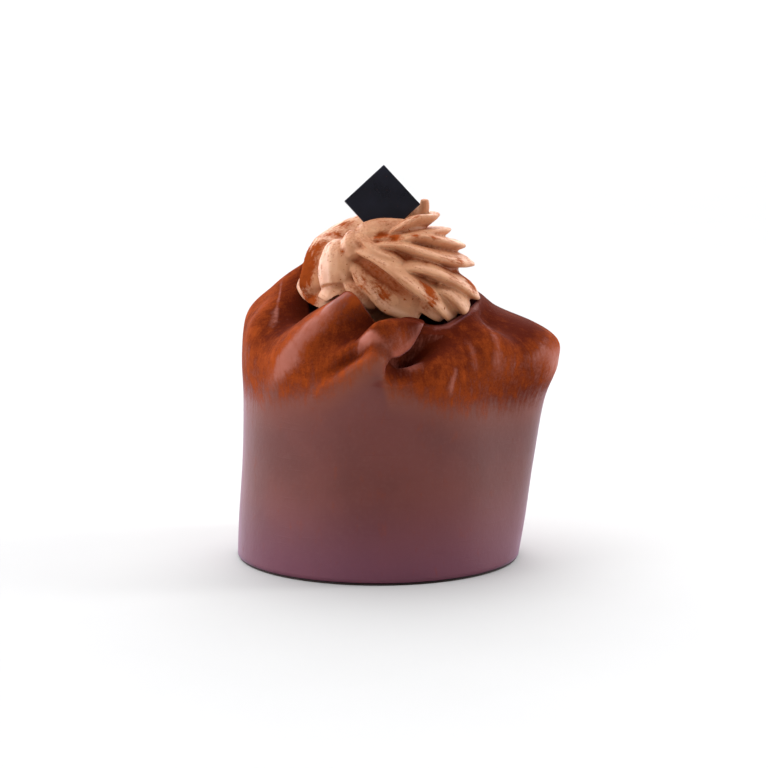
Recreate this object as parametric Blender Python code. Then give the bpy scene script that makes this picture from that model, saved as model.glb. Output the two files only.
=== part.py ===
"""A merveilleux wrapped in a sheet of milk chocolate, with a piped cream rosette and a small plaque.

The origin is on the table under the middle of the foot, +Z is up and the front faces -Y.
Angles round the cake are in degrees: 0 is right (+X), 90 back, 180 left and 270 front.
Lengths are in millimetres until the meshes are made.
"""

from collections import namedtuple

import bmesh
import bpy
import numpy as np
from mathutils import Matrix, Vector

MM = 0.001
GAP = 0.3

# ---- the chocolate sheet ----------------------------------------------------------------

# One level of the sheet, from its lower edge (v = 0) to its upper rim (v = 1). The level is a
# circle whose height rises by lean_right towards +X and by lean_back towards +Y.
Level = namedtuple("Level", "v radius centre_x height lean_right lean_back")
LEVELS = (
    Level(0.00, 36.0, -0.1, 0.7, 0.0, 0.0),
    Level(0.10, 35.7, -0.1, 8.3, 0.0, 0.0),
    Level(0.30, 34.8, 0.2, 26.4, 0.0, 0.0),
    Level(0.46, 34.6, 0.3, 41.4, 0.0, 0.6),
    Level(0.58, 34.7, 0.2, 51.4, -0.8, 1.6),
    Level(0.68, 33.2, 0.1, 58.6, -0.8, 2.0),
    Level(0.84, 27.0, 1.2, 66.4, -1.6, 2.0),
    Level(1.00, 22.3, 2.9, 70.6, -3.4, 2.0),
)

# A fold is a ridge (height above 0) or a valley that runs up the sheet through its stations.
# Its sides fall off over the widths to its left and right, seen from outside. It pushes the
# sheet along the sheet's own normal, straight out or straight up.
Fold = namedtuple("Fold", "v angle height left right way")
FRONT_FOLDS = (
    # the ear that bulges out at the right, and the valley before it
    Fold((0.00, 0.10, 0.30, 0.46, 0.58, 0.66, 0.72, 0.78, 0.84),
         (-3, -3, -4, -5, -7, -8, -8, -8, -8),
         (0.0, 1.6, 4.7, 7.4, 10.6, 11.4, 7.6, 1.4, 0.0), 13.0, 13.0, "out"),
    Fold((0.52, 0.64, 0.78, 0.92, 1.00), (335, 336, 338, 342, 344),
         (0.0, -1.8, -2.2, -0.6, 0.0), 4.5, 4.5, "normal"),
    # the soft pleat between the ear and the pinch, and the collar at the right of the rim
    Fold((0.50, 0.62, 0.78, 0.94, 1.00), (331, 328, 324, 320, 318),
         (0.0, 1.0, 1.4, 0.8, 0.0), 5.0, 6.0, "normal"),
    Fold((0.50, 0.62, 0.80, 1.00), (315, 311, 307, 305),
         (0.0, -0.8, -1.4, -1.2), 6.0, 6.0, "up"),
    Fold((0.86, 0.94, 1.00), (340, 340, 340), (0.0, 0.8, 1.4), 8.0, 8.0, "normal"),
    # the front of the top, which lies lower than the back
    Fold((0.46, 0.58, 0.72, 0.86, 1.00), (275, 275, 278, 282, 285),
         (0.0, -1.4, -3.0, -4.4, -5.6), 26.0, 26.0, "up"),
    # the crest that climbs from the front wall to the pinch, and the valley above it
    Fold((0.46, 0.55, 0.60, 0.64, 0.67, 0.70, 0.74), (240, 248, 254, 259, 262.5, 265, 268),
         (0.0, 0.8, 2.0, 2.8, 2.8, 1.4, 0.0), 2.8, 7.0, "normal"),
    Fold((0.56, 0.62, 0.66, 0.70, 0.74), (247, 253, 257, 261, 265),
         (0.0, -1.4, -2.4, -1.8, 0.0), 2.4, 2.4, "normal"),
    # the crest above that valley, which the pinch's flap grows out of
    Fold((0.62, 0.70, 0.76, 0.82, 0.90), (252, 256, 262, 268, 272),
         (0.0, 1.0, 2.2, 2.4, 0.6), 3.4, 4.4, "normal"),
    # the hollow between the broad pleat and the pinch
    Fold((0.66, 0.76, 0.86, 1.00), (246, 252, 258, 264),
         (0.0, -1.2, -2.6, -3.4), 4.6, 4.6, "up"),
    # the pocket under the pinch
    Fold((0.58, 0.65, 0.71, 0.78, 0.86), (276, 278, 281, 286, 291),
         (0.0, -3.6, -8.4, -7.0, 0.0), 4.0, 6.0, "normal"),
    # the broad pleat left of the pinch with its peak, the wide valley beside it and the wing
    Fold((0.44, 0.56, 0.68, 0.84, 1.00), (216, 222, 231, 240, 246),
         (0.0, 0.8, 2.2, 2.4, 2.4), 5.4, 4.6, "normal"),
    Fold((0.72, 0.82, 0.92, 1.00), (236, 241, 245, 247),
         (0.0, 1.0, 2.2, 3.0), 3.0, 3.4, "normal"),
    Fold((0.50, 0.60, 0.72, 0.86, 1.00), (214, 214, 212, 209, 207),
         (0.0, -0.6, -2.6, -6.0, -10.5), 7.5, 7.0, "up"),
    Fold((0.50, 0.62, 0.78, 0.90), (203, 201, 197, 195),
         (0.0, 0.7, 1.3, 0.0), 4.5, 4.5, "normal"),
    Fold((0.56, 0.66, 0.72, 0.84, 1.00), (176, 175, 174, 174, 176),
         (0.0, 0.8, 1.6, 1.8, 2.0), 6.0, 4.0, "normal"),
)

# The pleats of the back, laid out by a rule: a ridge with a valley beside it, again and again.
BACK_PLEATS = 5
BACK_FROM, BACK_TO = 28.0, 160.0
BACK_RIDGE, BACK_VALLEY = 2.4, -2.8
BACK_DRIFT = 9.0
BACK_SEED = 7

# The pinch, where the sheet doubles back under itself. Its edge climbs the front wall, turns
# and runs right to the rim. Along the edge: how far the layers overlap and how high the upper
# one stands.
Station = namedtuple("Station", "angle v overlap lift")
PINCH = (
    Station(272.0, 0.600, 0.0, 0.0),
    Station(272.4, 0.635, 1.2, 1.4),
    Station(272.8, 0.668, 2.2, 2.8),
    Station(274.4, 0.698, 4.0, 4.0),
    Station(279.0, 0.738, 7.6, 5.0),
    Station(284.2, 0.796, 9.6, 4.6),
    Station(287.6, 0.856, 7.8, 3.4),
    Station(289.2, 0.930, 5.0, 2.0),
    Station(290.0, 1.100, 2.0, 1.0),
)
PINCH_HALF_WIDTH = 5.0
PINCH_SLOPE = 9.0
PINCH_ORIGIN = 276.0
# The upper layer slides over the lower one this far below straight right.
PINCH_WAY = 30.0

# ---- the sheet's edges and the hollow that the cream sits in ----------------------------

SHEET_THICKNESS = 1.3
HOLLOW_CENTRE_X = 3.2
HOLLOW_FLOOR_Z = 56.2
HOLLOW_FLOOR_RADIUS = 15.0
RECESS_DEPTH = 2.2
BASE_THICKNESS = 1.9
BASE_RIM_THICKNESS = 0.4
BASE_RIM_INSET = 0.4

COLUMNS = 114
ROWS = (0.0, 0.15, 0.34, 0.46, 0.52, 0.56, 0.585, 0.607, 0.629, 0.649, 0.667, 0.682, 0.695,
        0.708, 0.721, 0.734, 0.747, 0.76, 0.776, 0.796, 0.824, 0.86, 0.9, 0.95, 1.0)
DENSE_AT = 268.0
DENSE_SPREAD = 22.0
DENSITY = 2.4
DIAGONAL_COST = 0.35

# ---- the piped rosette ------------------------------------------------------------------

# The rosette's outline down its side, from its upper rim: how far down the slope, radius and
# height. The crests of its blades touch this outline, and the grooves lie inside it.
OUTLINE = (
    (-11.5, 0.0, 84.8),
    (-6.0, 5.5, 85.6),
    (0.0, 11.0, 86.6),
    (3.9, 14.4, 84.3),
    (7.7, 17.3, 81.7),
    (12.3, 19.7, 77.9),
    (16.6, 21.2, 73.9),
    (21.8, 22.7, 68.9),
    (25.9, 22.2, 64.9),
    (29.0, 20.8, 62.2),
    (32.1, 18.4, 60.4),
)
ROSETTE_CENTRE_X = 2.2
GROOVE_DEPTH = 3.4
# The core follows the outline inside the grooves down to here, and then narrows to its foot:
# radius and height.
CORE_DOWN_TO = 20.0
CORE_FOOT = ((12.5, 66.0), (8.6, 62.8), (7.6, 58.6), (7.6, 55.2))
# The rosette's upper left, which sank: how far, down to where on the slope.
LEFT_SINK = 4.4
LEFT_SINK_TO = 15.0

# A blade is a ridge that the star tip left: its angles, how far down the slope it lies at each
# of them, its size there, how far out of the outline it stands and its section. Past 360 it
# goes on round the back. A section runs across the slope (down is positive) and out from the
# grooves: blades overlap like shingles, and petals are round or flat.
SHINGLE = (
    (-4.4, -2.4), (-3.6, -0.6), (-2.8, 1.0), (-1.8, 2.2), (-0.6, 3.1), (0.5, 3.7), (1.0, 3.5),
    (0.9, 2.4), (0.4, 0.8), (-0.2, -0.8), (-0.8, -2.2), (-2.0, -3.2),
)
PETAL = (
    (-3.3, -2.6), (-3.2, -0.6), (-2.4, 1.4), (-1.0, 2.6), (0.3, 2.9), (1.6, 2.4), (2.7, 1.0),
    (3.2, -0.8), (3.0, -2.6), (0.0, -3.4),
)
FLAT_PETAL = (
    (-3.6, -2.6), (-3.8, -0.4), (-3.4, 1.0), (-2.2, 2.1), (-0.4, 2.9), (1.6, 2.9), (3.0, 2.2),
    (3.9, 0.8), (3.7, -2.6), (0.0, -3.4),
)
Blade = namedtuple("Blade", "angle down size out section", defaults=(0.0, SHINGLE))
BLADES = (
    Blade((240, 246, 260, 266, 276, 291, 295), (12.4, 16.0, 21.4, 24.1, 26.4, 28.1, 28.7),
          (0.2, 0.75, 1.1, 1.1, 1.1, 0.9, 0.4)),
    Blade((236, 244, 262, 274, 284, 297, 313, 323, 332),
          (7.4, 9.4, 12.8, 15.9, 19.2, 23.1, 27.6, 29.6, 30.4),
          (0.3, 0.7, 1.0, 1.2, 1.3, 1.25, 1.25, 1.15, 0.6)),
    Blade((272, 285, 294, 305, 315, 336, 360, 400, 440),
          (15.4, 14.8, 15.5, 17.0, 18.7, 22.6, 24.6, 27.4, 29.5),
          (0.2, 0.8, 1.1, 1.3, 1.3, 1.3, 1.2, 1.1, 0.5)),
    Blade((228, 236, 246, 255, 264, 275, 287), (-0.4, 2.2, 5.8, 8.6, 10.8, 12.2, 13.4),
          (0.3, 0.7, 0.8, 0.85, 0.85, 0.75, 0.2)),
    Blade((251, 264, 280, 293, 304, 330, 360, 420, 470, 505),
          (6.1, 7.6, 8.5, 10.4, 12.0, 14.6, 15.6, 18.6, 22.6, 28.0),
          (0.2, 0.7, 0.9, 1.0, 1.1, 1.2, 1.2, 1.2, 1.2, 0.8)),
    Blade((265, 278, 288, 302, 316, 336, 361, 420, 480, 515, 532),
          (6.5, 6.5, 6.0, 6.0, 7.6, 9.3, 10.6, 13.0, 17.0, 21.5, 28.0),
          (0.2, 0.7, 0.8, 1.0, 1.1, 1.1, 1.1, 1.1, 1.2, 1.1, 0.8)),
    Blade((246, 264, 282, 302, 322, 363, 420, 480, 520, 545, 562, 572, 580, 588),
          (3.4, 5.0, 4.9, 4.5, 4.4, 5.2, 7.0, 10.0, 15.0, 20.0, 23.6, 25.2, 26.2, 26.8),
          (0.2, 0.6, 0.7, 0.8, 0.9, 1.0, 1.1, 1.1, 1.2, 1.1, 0.9, 0.75, 0.65, 0.35)),
    Blade((273, 285, 306, 336, 363, 420, 480, 526, 546, 557, 561, 563, 565, 567),
          (3.6, 2.7, 1.0, 1.1, 1.0, 1.6, 2.6, 4.6, 7.0, 10.5, 14.4, 18.0, 21.0, 23.6),
          (0.2, 0.6, 0.9, 0.9, 0.9, 1.0, 1.1, 1.1, 1.0, 0.9, 0.9, 0.9, 0.85, 0.4), 1.6),
    Blade((200, 209, 216, 222, 226, 229, 231), (3.0, 5.0, 7.5, 10.5, 13.5, 16.5, 19.5),
          (0.55, 0.75, 0.9, 1.05, 1.2, 1.25, 1.05), 1.1, FLAT_PETAL),
    Blade((219, 226, 232, 237, 240), (22.8, 22.6, 23.2, 24.4, 25.8),
          (0.4, 0.8, 0.95, 0.8, 0.4), 1.3),
    Blade((214, 222, 229, 234, 238, 242), (-0.6, 1.4, 4.0, 6.8, 9.2, 11.2),
          (0.5, 0.75, 0.9, 0.95, 0.9, 0.5), 1.2, PETAL),
    Blade((286, 293, 300, 307, 314, 320), (24.2, 25.8, 27.2, 28.6, 29.8, 30.6),
          (0.3, 0.8, 1.0, 1.0, 0.8, 0.3)),
    Blade((238, 244, 250, 256, 261), (17.6, 20.2, 22.6, 24.6, 26.0),
          (0.4, 0.8, 0.9, 0.75, 0.3), 0.4),
    Blade((303, 309, 314, 320, 327, 334, 340), (20.2, 21.6, 23.0, 24.8, 26.6, 28.0, 29.0),
          (0.4, 0.9, 1.2, 1.4, 1.45, 1.35, 1.0), 0.5),
    Blade((205, 230, 260, 290, 320, 340), (-3.0, -3.2, -3.6, -3.8, -3.4, -3.0),
          (0.7, 1.1, 1.1, 0.95, 0.7, 0.3), 0.8, PETAL),
)
BLADE_STEP = 1.4

# The tail that the tip left when it was lifted off: x, y, z and radius.
TAIL = (
    (2.0, 1.0, 81.4, 5.0),
    (6.5, 1.5, 84.4, 4.2),
    (10.0, 1.0, 87.0, 2.6),
    (11.4, 0.4, 88.8, 1.5),
    (11.6, 0.0, 90.6, 1.0),
)

CREAM_VOXEL = 0.55
CREAM_TRIANGLES = 5900
CREAM_GAP = 0.55

# ---- the plaque -------------------------------------------------------------------------

PLAQUE_SIDE = 13.5
PLAQUE_THICKNESS = 1.1
PLAQUE_CENTRE = (0.95, -3.0, 90.0)
PLAQUE_LEAN = 10.0
PLAQUE_ROLL = 2.3


def smooth_through(at, knots, values):
    """A smooth curve through the values at the knots, level beyond both ends."""
    knots = np.asarray(knots, float)
    values = np.asarray(values, float)
    slopes = np.gradient(values, knots)
    at = np.clip(at, knots[0], knots[-1])
    i = np.clip(np.searchsorted(knots, at, side="right") - 1, 0, len(knots) - 2)
    step = knots[i + 1] - knots[i]
    t = (at - knots[i]) / step
    return (
        (2 * t**3 - 3 * t**2 + 1) * values[i]
        + (t**3 - 2 * t**2 + t) * step * slopes[i]
        + (3 * t**2 - 2 * t**3) * values[i + 1]
        + (t**3 - t**2) * step * slopes[i + 1]
    )


def ease(t):
    """0 to 1 with level ends."""
    t = np.clip(t, 0.0, 1.0)
    return t * t * (3 - 2 * t)


def turn_between(a, b):
    """Degrees from b to a, between -180 and 180."""
    return (a - b + 180.0) % 360.0 - 180.0


def path_length(points):
    steps = np.linalg.norm(np.diff(points, axis=0), axis=1)
    return np.concatenate([[0.0], np.cumsum(steps)])


def unit(vectors):
    return vectors / np.maximum(np.linalg.norm(vectors, axis=-1, keepdims=True), 1e-9)


def level_value(name, v):
    return smooth_through(v, [x.v for x in LEVELS], [getattr(x, name) for x in LEVELS])


def mm_per_degree(v):
    return np.radians(level_value("radius", v))


def plain_sheet(angle, v):
    """The sheet without its folds."""
    radius = level_value("radius", v)
    across = np.cos(np.radians(angle))
    back = np.sin(np.radians(angle))
    return np.stack(
        [
            level_value("centre_x", v) + radius * across,
            radius * back,
            level_value("height", v)
            + level_value("lean_right", v) * across
            + level_value("lean_back", v) * back,
        ],
        axis=-1,
    )


def sheet_normal(angle, v):
    """The outward normal of the plain sheet."""
    along = plain_sheet(angle + 0.5, v) - plain_sheet(angle - 0.5, v)
    low, high = np.clip(v - 0.004, 0, 1), np.clip(v + 0.004, 0, 1)
    up = plain_sheet(angle, high) - plain_sheet(angle, low)
    return unit(np.cross(along, up))


def back_folds():
    """Ridges and valleys for the side that faces away, uneven but the same each time."""
    draw = np.random.default_rng(BACK_SEED)
    pitch = (BACK_TO - BACK_FROM) / BACK_PLEATS
    folds = []
    for i in range(BACK_PLEATS):
        at = BACK_FROM + pitch * (i + draw.uniform(0.35, 0.65))
        drift = BACK_DRIFT * draw.uniform(0.4, 1.2)
        strength = draw.uniform(0.75, 1.25)
        for height, offset in ((BACK_RIDGE, 0.0), (BACK_VALLEY, pitch * 0.42)):
            folds.append(
                Fold(
                    (0.46, 0.60, 0.74, 0.88, 1.00),
                    tuple(at + offset + drift * s for s in (-0.4, 0.0, 0.5, 0.9, 1.1)),
                    tuple(height * strength * s for s in (0.0, 0.4, 1.0, 1.0, 0.9)),
                    4.4, 5.2, "normal",
                )
            )
    return folds


FOLDS = (*FRONT_FOLDS, *back_folds())


def fold_push(angle, v):
    """How far the folds push the plain sheet, as vectors."""
    normal = sheet_normal(angle, v)
    radians = np.radians(angle)
    ways = {
        "normal": normal,
        "out": np.stack([np.cos(radians), np.sin(radians), 0 * radians], axis=-1),
        "up": np.array([0.0, 0.0, 1.0]),
    }
    push = np.zeros_like(normal)
    for fold in FOLDS:
        across = turn_between(angle, smooth_through(v, fold.v, fold.angle)) * mm_per_degree(v)
        width = np.where(across < 0, fold.left, fold.right)
        height = smooth_through(v, fold.v, fold.height) * np.exp(-((across / width) ** 2))
        push += height[..., None] * ways[fold.way]
    return push


def slope_length(v):
    """Millimetres up the sheet to v, and how much v a millimetre is there."""
    fine = np.linspace(0.0, 1.2, 241)
    profile = np.stack([level_value("radius", fine), level_value("height", fine)], axis=-1)
    length = path_length(profile)
    length += np.maximum(fine - 1.0, 0.0) * (length[200] - length[199]) * 200
    return np.interp(v, fine, length), 1.0 / np.interp(v, fine, np.gradient(length, fine))


def beside_pinch(angle, v):
    """For points on the sheet laid out flat: their distance from the pinch's edge, positive on
    the lower layer's side, the direction that way, and the overlap and lift there."""
    below = np.radians(PINCH_WAY)
    way = np.array([np.cos(below), -np.sin(below)])
    along = np.array([np.sin(below), np.cos(below)])
    def flat(a, w):
        return np.stack([turn_between(a, PINCH_ORIGIN) * mm_per_degree(w), slope_length(w)[0]], -1)
    columns = {name: np.array([getattr(s, name) for s in PINCH]) for name in Station._fields}
    edge = flat(columns["angle"], columns["v"])
    point = flat(angle, v)
    reach = point @ along
    distance = point @ way - smooth_through(reach, edge @ along, edge @ way)
    overlap, lift = (smooth_through(reach, edge @ along, columns[n]) for n in ("overlap", "lift"))
    return distance, way, np.maximum(overlap, 0.0), lift


def folded_sheet(angle, v):
    """The sheet with its folds, and with the pinch that doubles it back."""
    distance, way, overlap, lift = beside_pinch(angle, v)
    distance = distance + np.maximum(0.65 * overlap - PINCH_HALF_WIDTH / 3, 0.0)
    share = np.clip(distance / PINCH_HALF_WIDTH, -1, 1)
    slide = -overlap * np.sin(np.pi * share) * (1 + np.cos(np.pi * share)) / 2
    climb = ease((distance + PINCH_SLOPE) / (PINCH_SLOPE - 0.4 * PINCH_HALF_WIDTH))
    drop = ease((distance + 0.5 * PINCH_HALF_WIDTH) / (0.9 * PINCH_HALF_WIDTH))
    angle = angle + slide * way[..., 0] / mm_per_degree(v)
    v = np.clip(v + slide * way[..., 1] * slope_length(v)[1], 0.0, 1.0)
    return (
        plain_sheet(angle, v)
        + fold_push(angle, v)
        + (lift * climb * (1 - drop))[..., None] * sheet_normal(angle, v)
    )


def column_angles(count, extra):
    """Angles of the mesh's columns, closer together at the pinch: 1 + extra times as close."""
    fine = np.linspace(0.0, 360.0, 3601)
    beside = turn_between(fine, DENSE_AT) / DENSE_SPREAD
    density = 1.0 + extra * np.exp(-(beside**2))
    share = np.concatenate([[0.0], np.cumsum((density[1:] + density[:-1]) / 2)])
    wanted = np.arange(count) / count * share[-1]
    return np.interp(wanted, share, fine)


def column_drift(angle, v):
    """Turns the columns beside the pinch so that they follow its line up the sheet."""
    near = np.exp(-((turn_between(angle, PINCH[0].angle) / 40.0) ** 2))
    line = smooth_through(v, [s.v for s in PINCH], [s.angle for s in PINCH])
    return angle + near * (line - PINCH[0].angle)


def ring_of(angle, radius, height, centre_x=0.0):
    radians = np.radians(angle)
    return np.stack(
        [
            centre_x + radius * np.cos(radians),
            radius * np.sin(radians),
            np.full_like(radians, height),
        ],
        axis=-1,
    )


def inner_rings(rim, angle):
    """The lip and the inside of the hollow, from the rim down to the floor."""
    centre = np.array([HOLLOW_CENTRE_X, 0.0, 0.0])
    spoke = (rim - centre) * (1, 1, 0)
    reach = np.linalg.norm(spoke, axis=-1, keepdims=True)
    spoke = spoke / reach
    lip = rim - spoke * SHEET_THICKNESS * 0.5 + (0, 0, SHEET_THICKNESS * 0.35)
    inside = rim - spoke * SHEET_THICKNESS - (0, 0, SHEET_THICKNESS * 0.2)
    floor = ring_of(angle, HOLLOW_FLOOR_RADIUS, HOLLOW_FLOOR_Z, HOLLOW_CENTRE_X)
    corner = ring_of(angle, HOLLOW_FLOOR_RADIUS + 4.2, HOLLOW_FLOOR_Z + 1.4, HOLLOW_CENTRE_X)
    return [lip, inside, 0.45 * inside + 0.55 * corner, corner, floor]


def foot_rings(angle, foot):
    """The sheet's lower edge and the recess that the base fills."""
    centre = np.array([0.0, 0.0, 0.0])
    spoke = (foot - centre) * (1, 1, 0)
    spoke = spoke / np.linalg.norm(spoke, axis=-1, keepdims=True)
    inner = foot - spoke * SHEET_THICKNESS
    return [inner + (0, 0, RECESS_DEPTH), inner]


def mesh_from_rings(name, rings, bottom, top, middles=None):
    """A closed mesh from rings of equal length, with a point that closes each end. Where the
    middles of a ring's cells are given, each cell is cut along the diagonal that passes nearer
    its middle and is shorter."""
    count = len(rings[0])
    mesh = bmesh.new()
    rows = [[mesh.verts.new(Vector(p) * MM) for p in ring] for ring in rings]
    for row, (low, high) in enumerate(zip(rows, rows[1:])):
        for i in range(count):
            j = (i + 1) % count
            if middles is None or row not in middles:
                mesh.faces.new((low[i], low[j], high[j], high[i]))
                continue
            middle = Vector(middles[row][i]) * MM
            rising, falling = (
                ((a.co + b.co) / 2 - middle).length + DIAGONAL_COST * (a.co - b.co).length
                for a, b in ((low[i], high[j]), (low[j], high[i]))
            )
            if rising < falling:
                mesh.faces.new((low[i], low[j], high[j]))
                mesh.faces.new((low[i], high[j], high[i]))
            else:
                mesh.faces.new((low[i], low[j], high[i]))
                mesh.faces.new((low[j], high[j], high[i]))
    for tip, row, turn in ((bottom, rows[0], -1), (top, rows[-1], 1)):
        end = mesh.verts.new(Vector(tip) * MM)
        for i in range(count):
            pair = (row[i], row[(i + 1) % count])
            mesh.faces.new((*pair[::turn], end))
    data = bpy.data.meshes.new(name)
    mesh.to_mesh(data)
    mesh.free()
    return data


def add_object(name, data, material):
    piece = bpy.data.objects.new(name, data)
    bpy.context.scene.collection.objects.link(piece)
    data.materials.append(material)
    return piece


def make_material(name, colour, roughness):
    material = bpy.data.materials.new(name)
    material.use_nodes = True
    shader = material.node_tree.nodes["Principled BSDF"]
    shader.inputs["Base Color"].default_value = (*colour, 1.0)
    shader.inputs["Roughness"].default_value = roughness
    shader.inputs["Metallic"].default_value = 0.0
    return material


def shade_round(data):
    data.shade_smooth()
    data.set_sharp_from_angle(angle=np.radians(50))


def build_wrap(material):
    """The cake in its sheet: solid, with the hollow in its top and the recess under it."""
    columns = column_angles(COLUMNS, DENSITY)
    outer = [folded_sheet(column_drift(columns, v), np.full(COLUMNS, v)) for v in ROWS]
    lower = foot_rings(columns, outer[0])
    rings = [*lower, *outer, *inner_rings(outer[-1], columns)]
    bottom = (0.0, 0.0, outer[0][0][2] + RECESS_DEPTH)
    top = (HOLLOW_CENTRE_X, 0.0, HOLLOW_FLOOR_Z)
    middles = {}
    for i, (low, high) in enumerate(zip(ROWS, ROWS[1:])):
        v = (low + high) / 2
        angles = np.append(column_drift(columns, v), column_drift(columns, v)[0] + 360.0)
        between = (angles[1:] + angles[:-1]) / 2
        middles[len(lower) + i] = folded_sheet(between, np.full(COLUMNS, v))
    data = mesh_from_rings("chocolate_wrap", rings, bottom, top, middles)
    shade_round(data)
    return add_object("chocolate_wrap", data, material)


def build_base(material):
    """The dark base: a thin rim that shows under the sheet, and the part inside the sheet."""
    angle = np.linspace(0.0, 360.0, 64, endpoint=False)
    foot = folded_sheet(angle, np.zeros_like(angle))
    reach = np.linalg.norm(foot[:, :2], axis=1)
    rim, inside = reach - BASE_RIM_INSET, reach - SHEET_THICKNESS - GAP
    rings = [
        ring_of(angle, rim, 0.0),
        ring_of(angle, rim, BASE_RIM_THICKNESS),
        ring_of(angle, inside, BASE_RIM_THICKNESS),
        ring_of(angle, inside, BASE_THICKNESS),
    ]
    data = mesh_from_rings("dark_base", rings, (0.0, 0.0, 0.0), (0.0, 0.0, BASE_THICKNESS))
    shade_round(data)
    return add_object("dark_base", data, material)


def on_rosette(angle, down, out=0.0):
    """A point at an angle and a distance down the rosette's side, out from its outline."""
    knots, radii, heights = np.transpose(OUTLINE)
    radius = smooth_through(down, knots, radii)
    height = smooth_through(down, knots, heights)
    along_r = smooth_through(down + 0.3, knots, radii) - radius
    along_z = smooth_through(down + 0.3, knots, heights) - height
    length = np.maximum(np.hypot(along_r, along_z), 1e-6)
    radius = radius - out * along_z / length
    height = height + out * along_r / length
    radians = np.radians(angle)
    leftness = (0.5 - 0.5 * np.cos(radians)) ** 5
    sink = LEFT_SINK * leftness * ease((LEFT_SINK_TO - down) / LEFT_SINK_TO)
    return np.stack(
        [
            ROSETTE_CENTRE_X + radius * np.cos(radians),
            radius * np.sin(radians),
            height - sink,
        ],
        axis=-1,
    )


def blade_mesh(blade):
    """One blade: its section swept along its path on the rosette's side."""
    fine = np.linspace(blade.angle[0], blade.angle[-1], 400)
    down = smooth_through(fine, blade.angle, blade.down)
    reach = path_length(on_rosette(fine, down))
    stops = np.linspace(0.0, reach[-1], int(reach[-1] / BLADE_STEP) + 1)
    angle = np.interp(stops, reach, fine)
    down = np.interp(stops, reach, down)
    size = smooth_through(angle, blade.angle, blade.size)
    crest = on_rosette(angle, down)
    ahead = unit(np.gradient(crest, axis=0))
    outward = unit(on_rosette(angle, down, 1.0) - crest)
    across = unit(np.cross(outward, ahead))
    outward = np.cross(ahead, across)
    lower = crest + (blade.out - GROOVE_DEPTH) * outward
    rings = []
    for i in range(len(stops)):
        section = np.array(blade.section) * size[i]
        rings.append(
            lower[i] - section[:, :1] * across[i] + section[:, 1:] * outward[i]
        )
    return mesh_from_rings("blade", rings, rings[0].mean(axis=0), rings[-1].mean(axis=0))


def core_mesh():
    """The cream under the blades, up to the bottom of the grooves, with its narrower foot."""
    angle = np.linspace(0.0, 360.0, 72, endpoint=False)
    downs = np.linspace(OUTLINE[0][0] + 1.5, CORE_DOWN_TO, 30)
    rings = [on_rosette(angle, np.full(72, down), -GROOVE_DEPTH) for down in downs]
    rings += [ring_of(angle, *place, ROSETTE_CENTRE_X) for place in CORE_FOOT]
    rings = rings[::-1]
    return mesh_from_rings("core", rings, rings[0].mean(axis=0), rings[-1].mean(axis=0))


def tail_mesh():
    points = np.array(TAIL)
    stops = np.linspace(0, len(points) - 1, 14)
    path = np.stack(
        [smooth_through(stops, np.arange(len(points)), points[:, i]) for i in range(4)], axis=-1
    )
    ahead = unit(np.gradient(path[:, :3], axis=0))
    side = unit(np.cross(ahead, (0.0, 1.0, 0.0)))
    front = np.cross(side, ahead)
    around = np.radians(np.linspace(0.0, 360.0, 14, endpoint=False))[:, None]
    rings = [
        path[i, :3] + path[i, 3] * (np.cos(around) * side[i] - np.sin(around) * front[i])
        for i in range(len(stops))
    ]
    return mesh_from_rings("tail", rings, path[0, :3], path[-1, :3])


def rosette_mesh():
    """The core, the blades and the tail as closed shells that run into each other."""
    whole = bmesh.new()
    for data in (core_mesh(), *map(blade_mesh, BLADES), tail_mesh()):
        whole.from_mesh(data)
    bmesh.ops.recalc_face_normals(whole, faces=whole.faces)
    data = bpy.data.meshes.new("rosette")
    whole.to_mesh(data)
    whole.free()
    return data


def evaluated_copy(piece, name):
    """The piece's mesh with its modifiers applied, as a new mesh."""
    graph = bpy.context.evaluated_depsgraph_get()
    data = bpy.data.meshes.new_from_object(piece.evaluated_get(graph))
    data.name = name
    return data


def fused(piece, voxel):
    """The piece's shells run together into one skin."""
    fuse = piece.modifiers.new("fuse", "REMESH")
    fuse.mode = "VOXEL"
    fuse.voxel_size = voxel * MM
    data = evaluated_copy(piece, piece.name)
    piece.modifiers.clear()
    return data


def swollen(piece, voxel, swell):
    """The piece's skin moved out by the swell."""
    piece.data = fused(piece, voxel)
    grow = piece.modifiers.new("grow", "DISPLACE")
    grow.mid_level = 0.0
    grow.strength = swell * MM
    data = evaluated_copy(piece, piece.name)
    piece.modifiers.clear()
    return data


def largest_only(data):
    """Drops every separate scrap but the largest."""
    mesh = bmesh.new()
    mesh.from_mesh(data)
    left = set(mesh.verts)
    groups = []
    while left:
        group = [left.pop()]
        for vertex in group:
            near = {edge.other_vert(vertex) for edge in vertex.link_edges} & left
            left -= near
            group.extend(sorted(near, key=lambda v: v.index))
        groups.append(group)
    groups.sort(key=len)
    bmesh.ops.delete(mesh, geom=[v for group in groups[:-1] for v in group], context="VERTS")
    mesh.to_mesh(data)
    mesh.free()


def cut_away(piece, cutter, solver="EXACT"):
    cut = piece.modifiers.new("cut", "BOOLEAN")
    cut.operation = "DIFFERENCE"
    cut.object = cutter
    cut.solver = solver


def thinned(piece, triangles):
    """The piece's mesh with about this many triangles."""
    count = sum(len(face.vertices) - 2 for face in piece.data.polygons)
    thin = piece.modifiers.new("thin", "DECIMATE")
    thin.ratio = min(1.0, triangles / count)
    data = evaluated_copy(piece, piece.name)
    piece.modifiers.clear()
    return data


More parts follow.
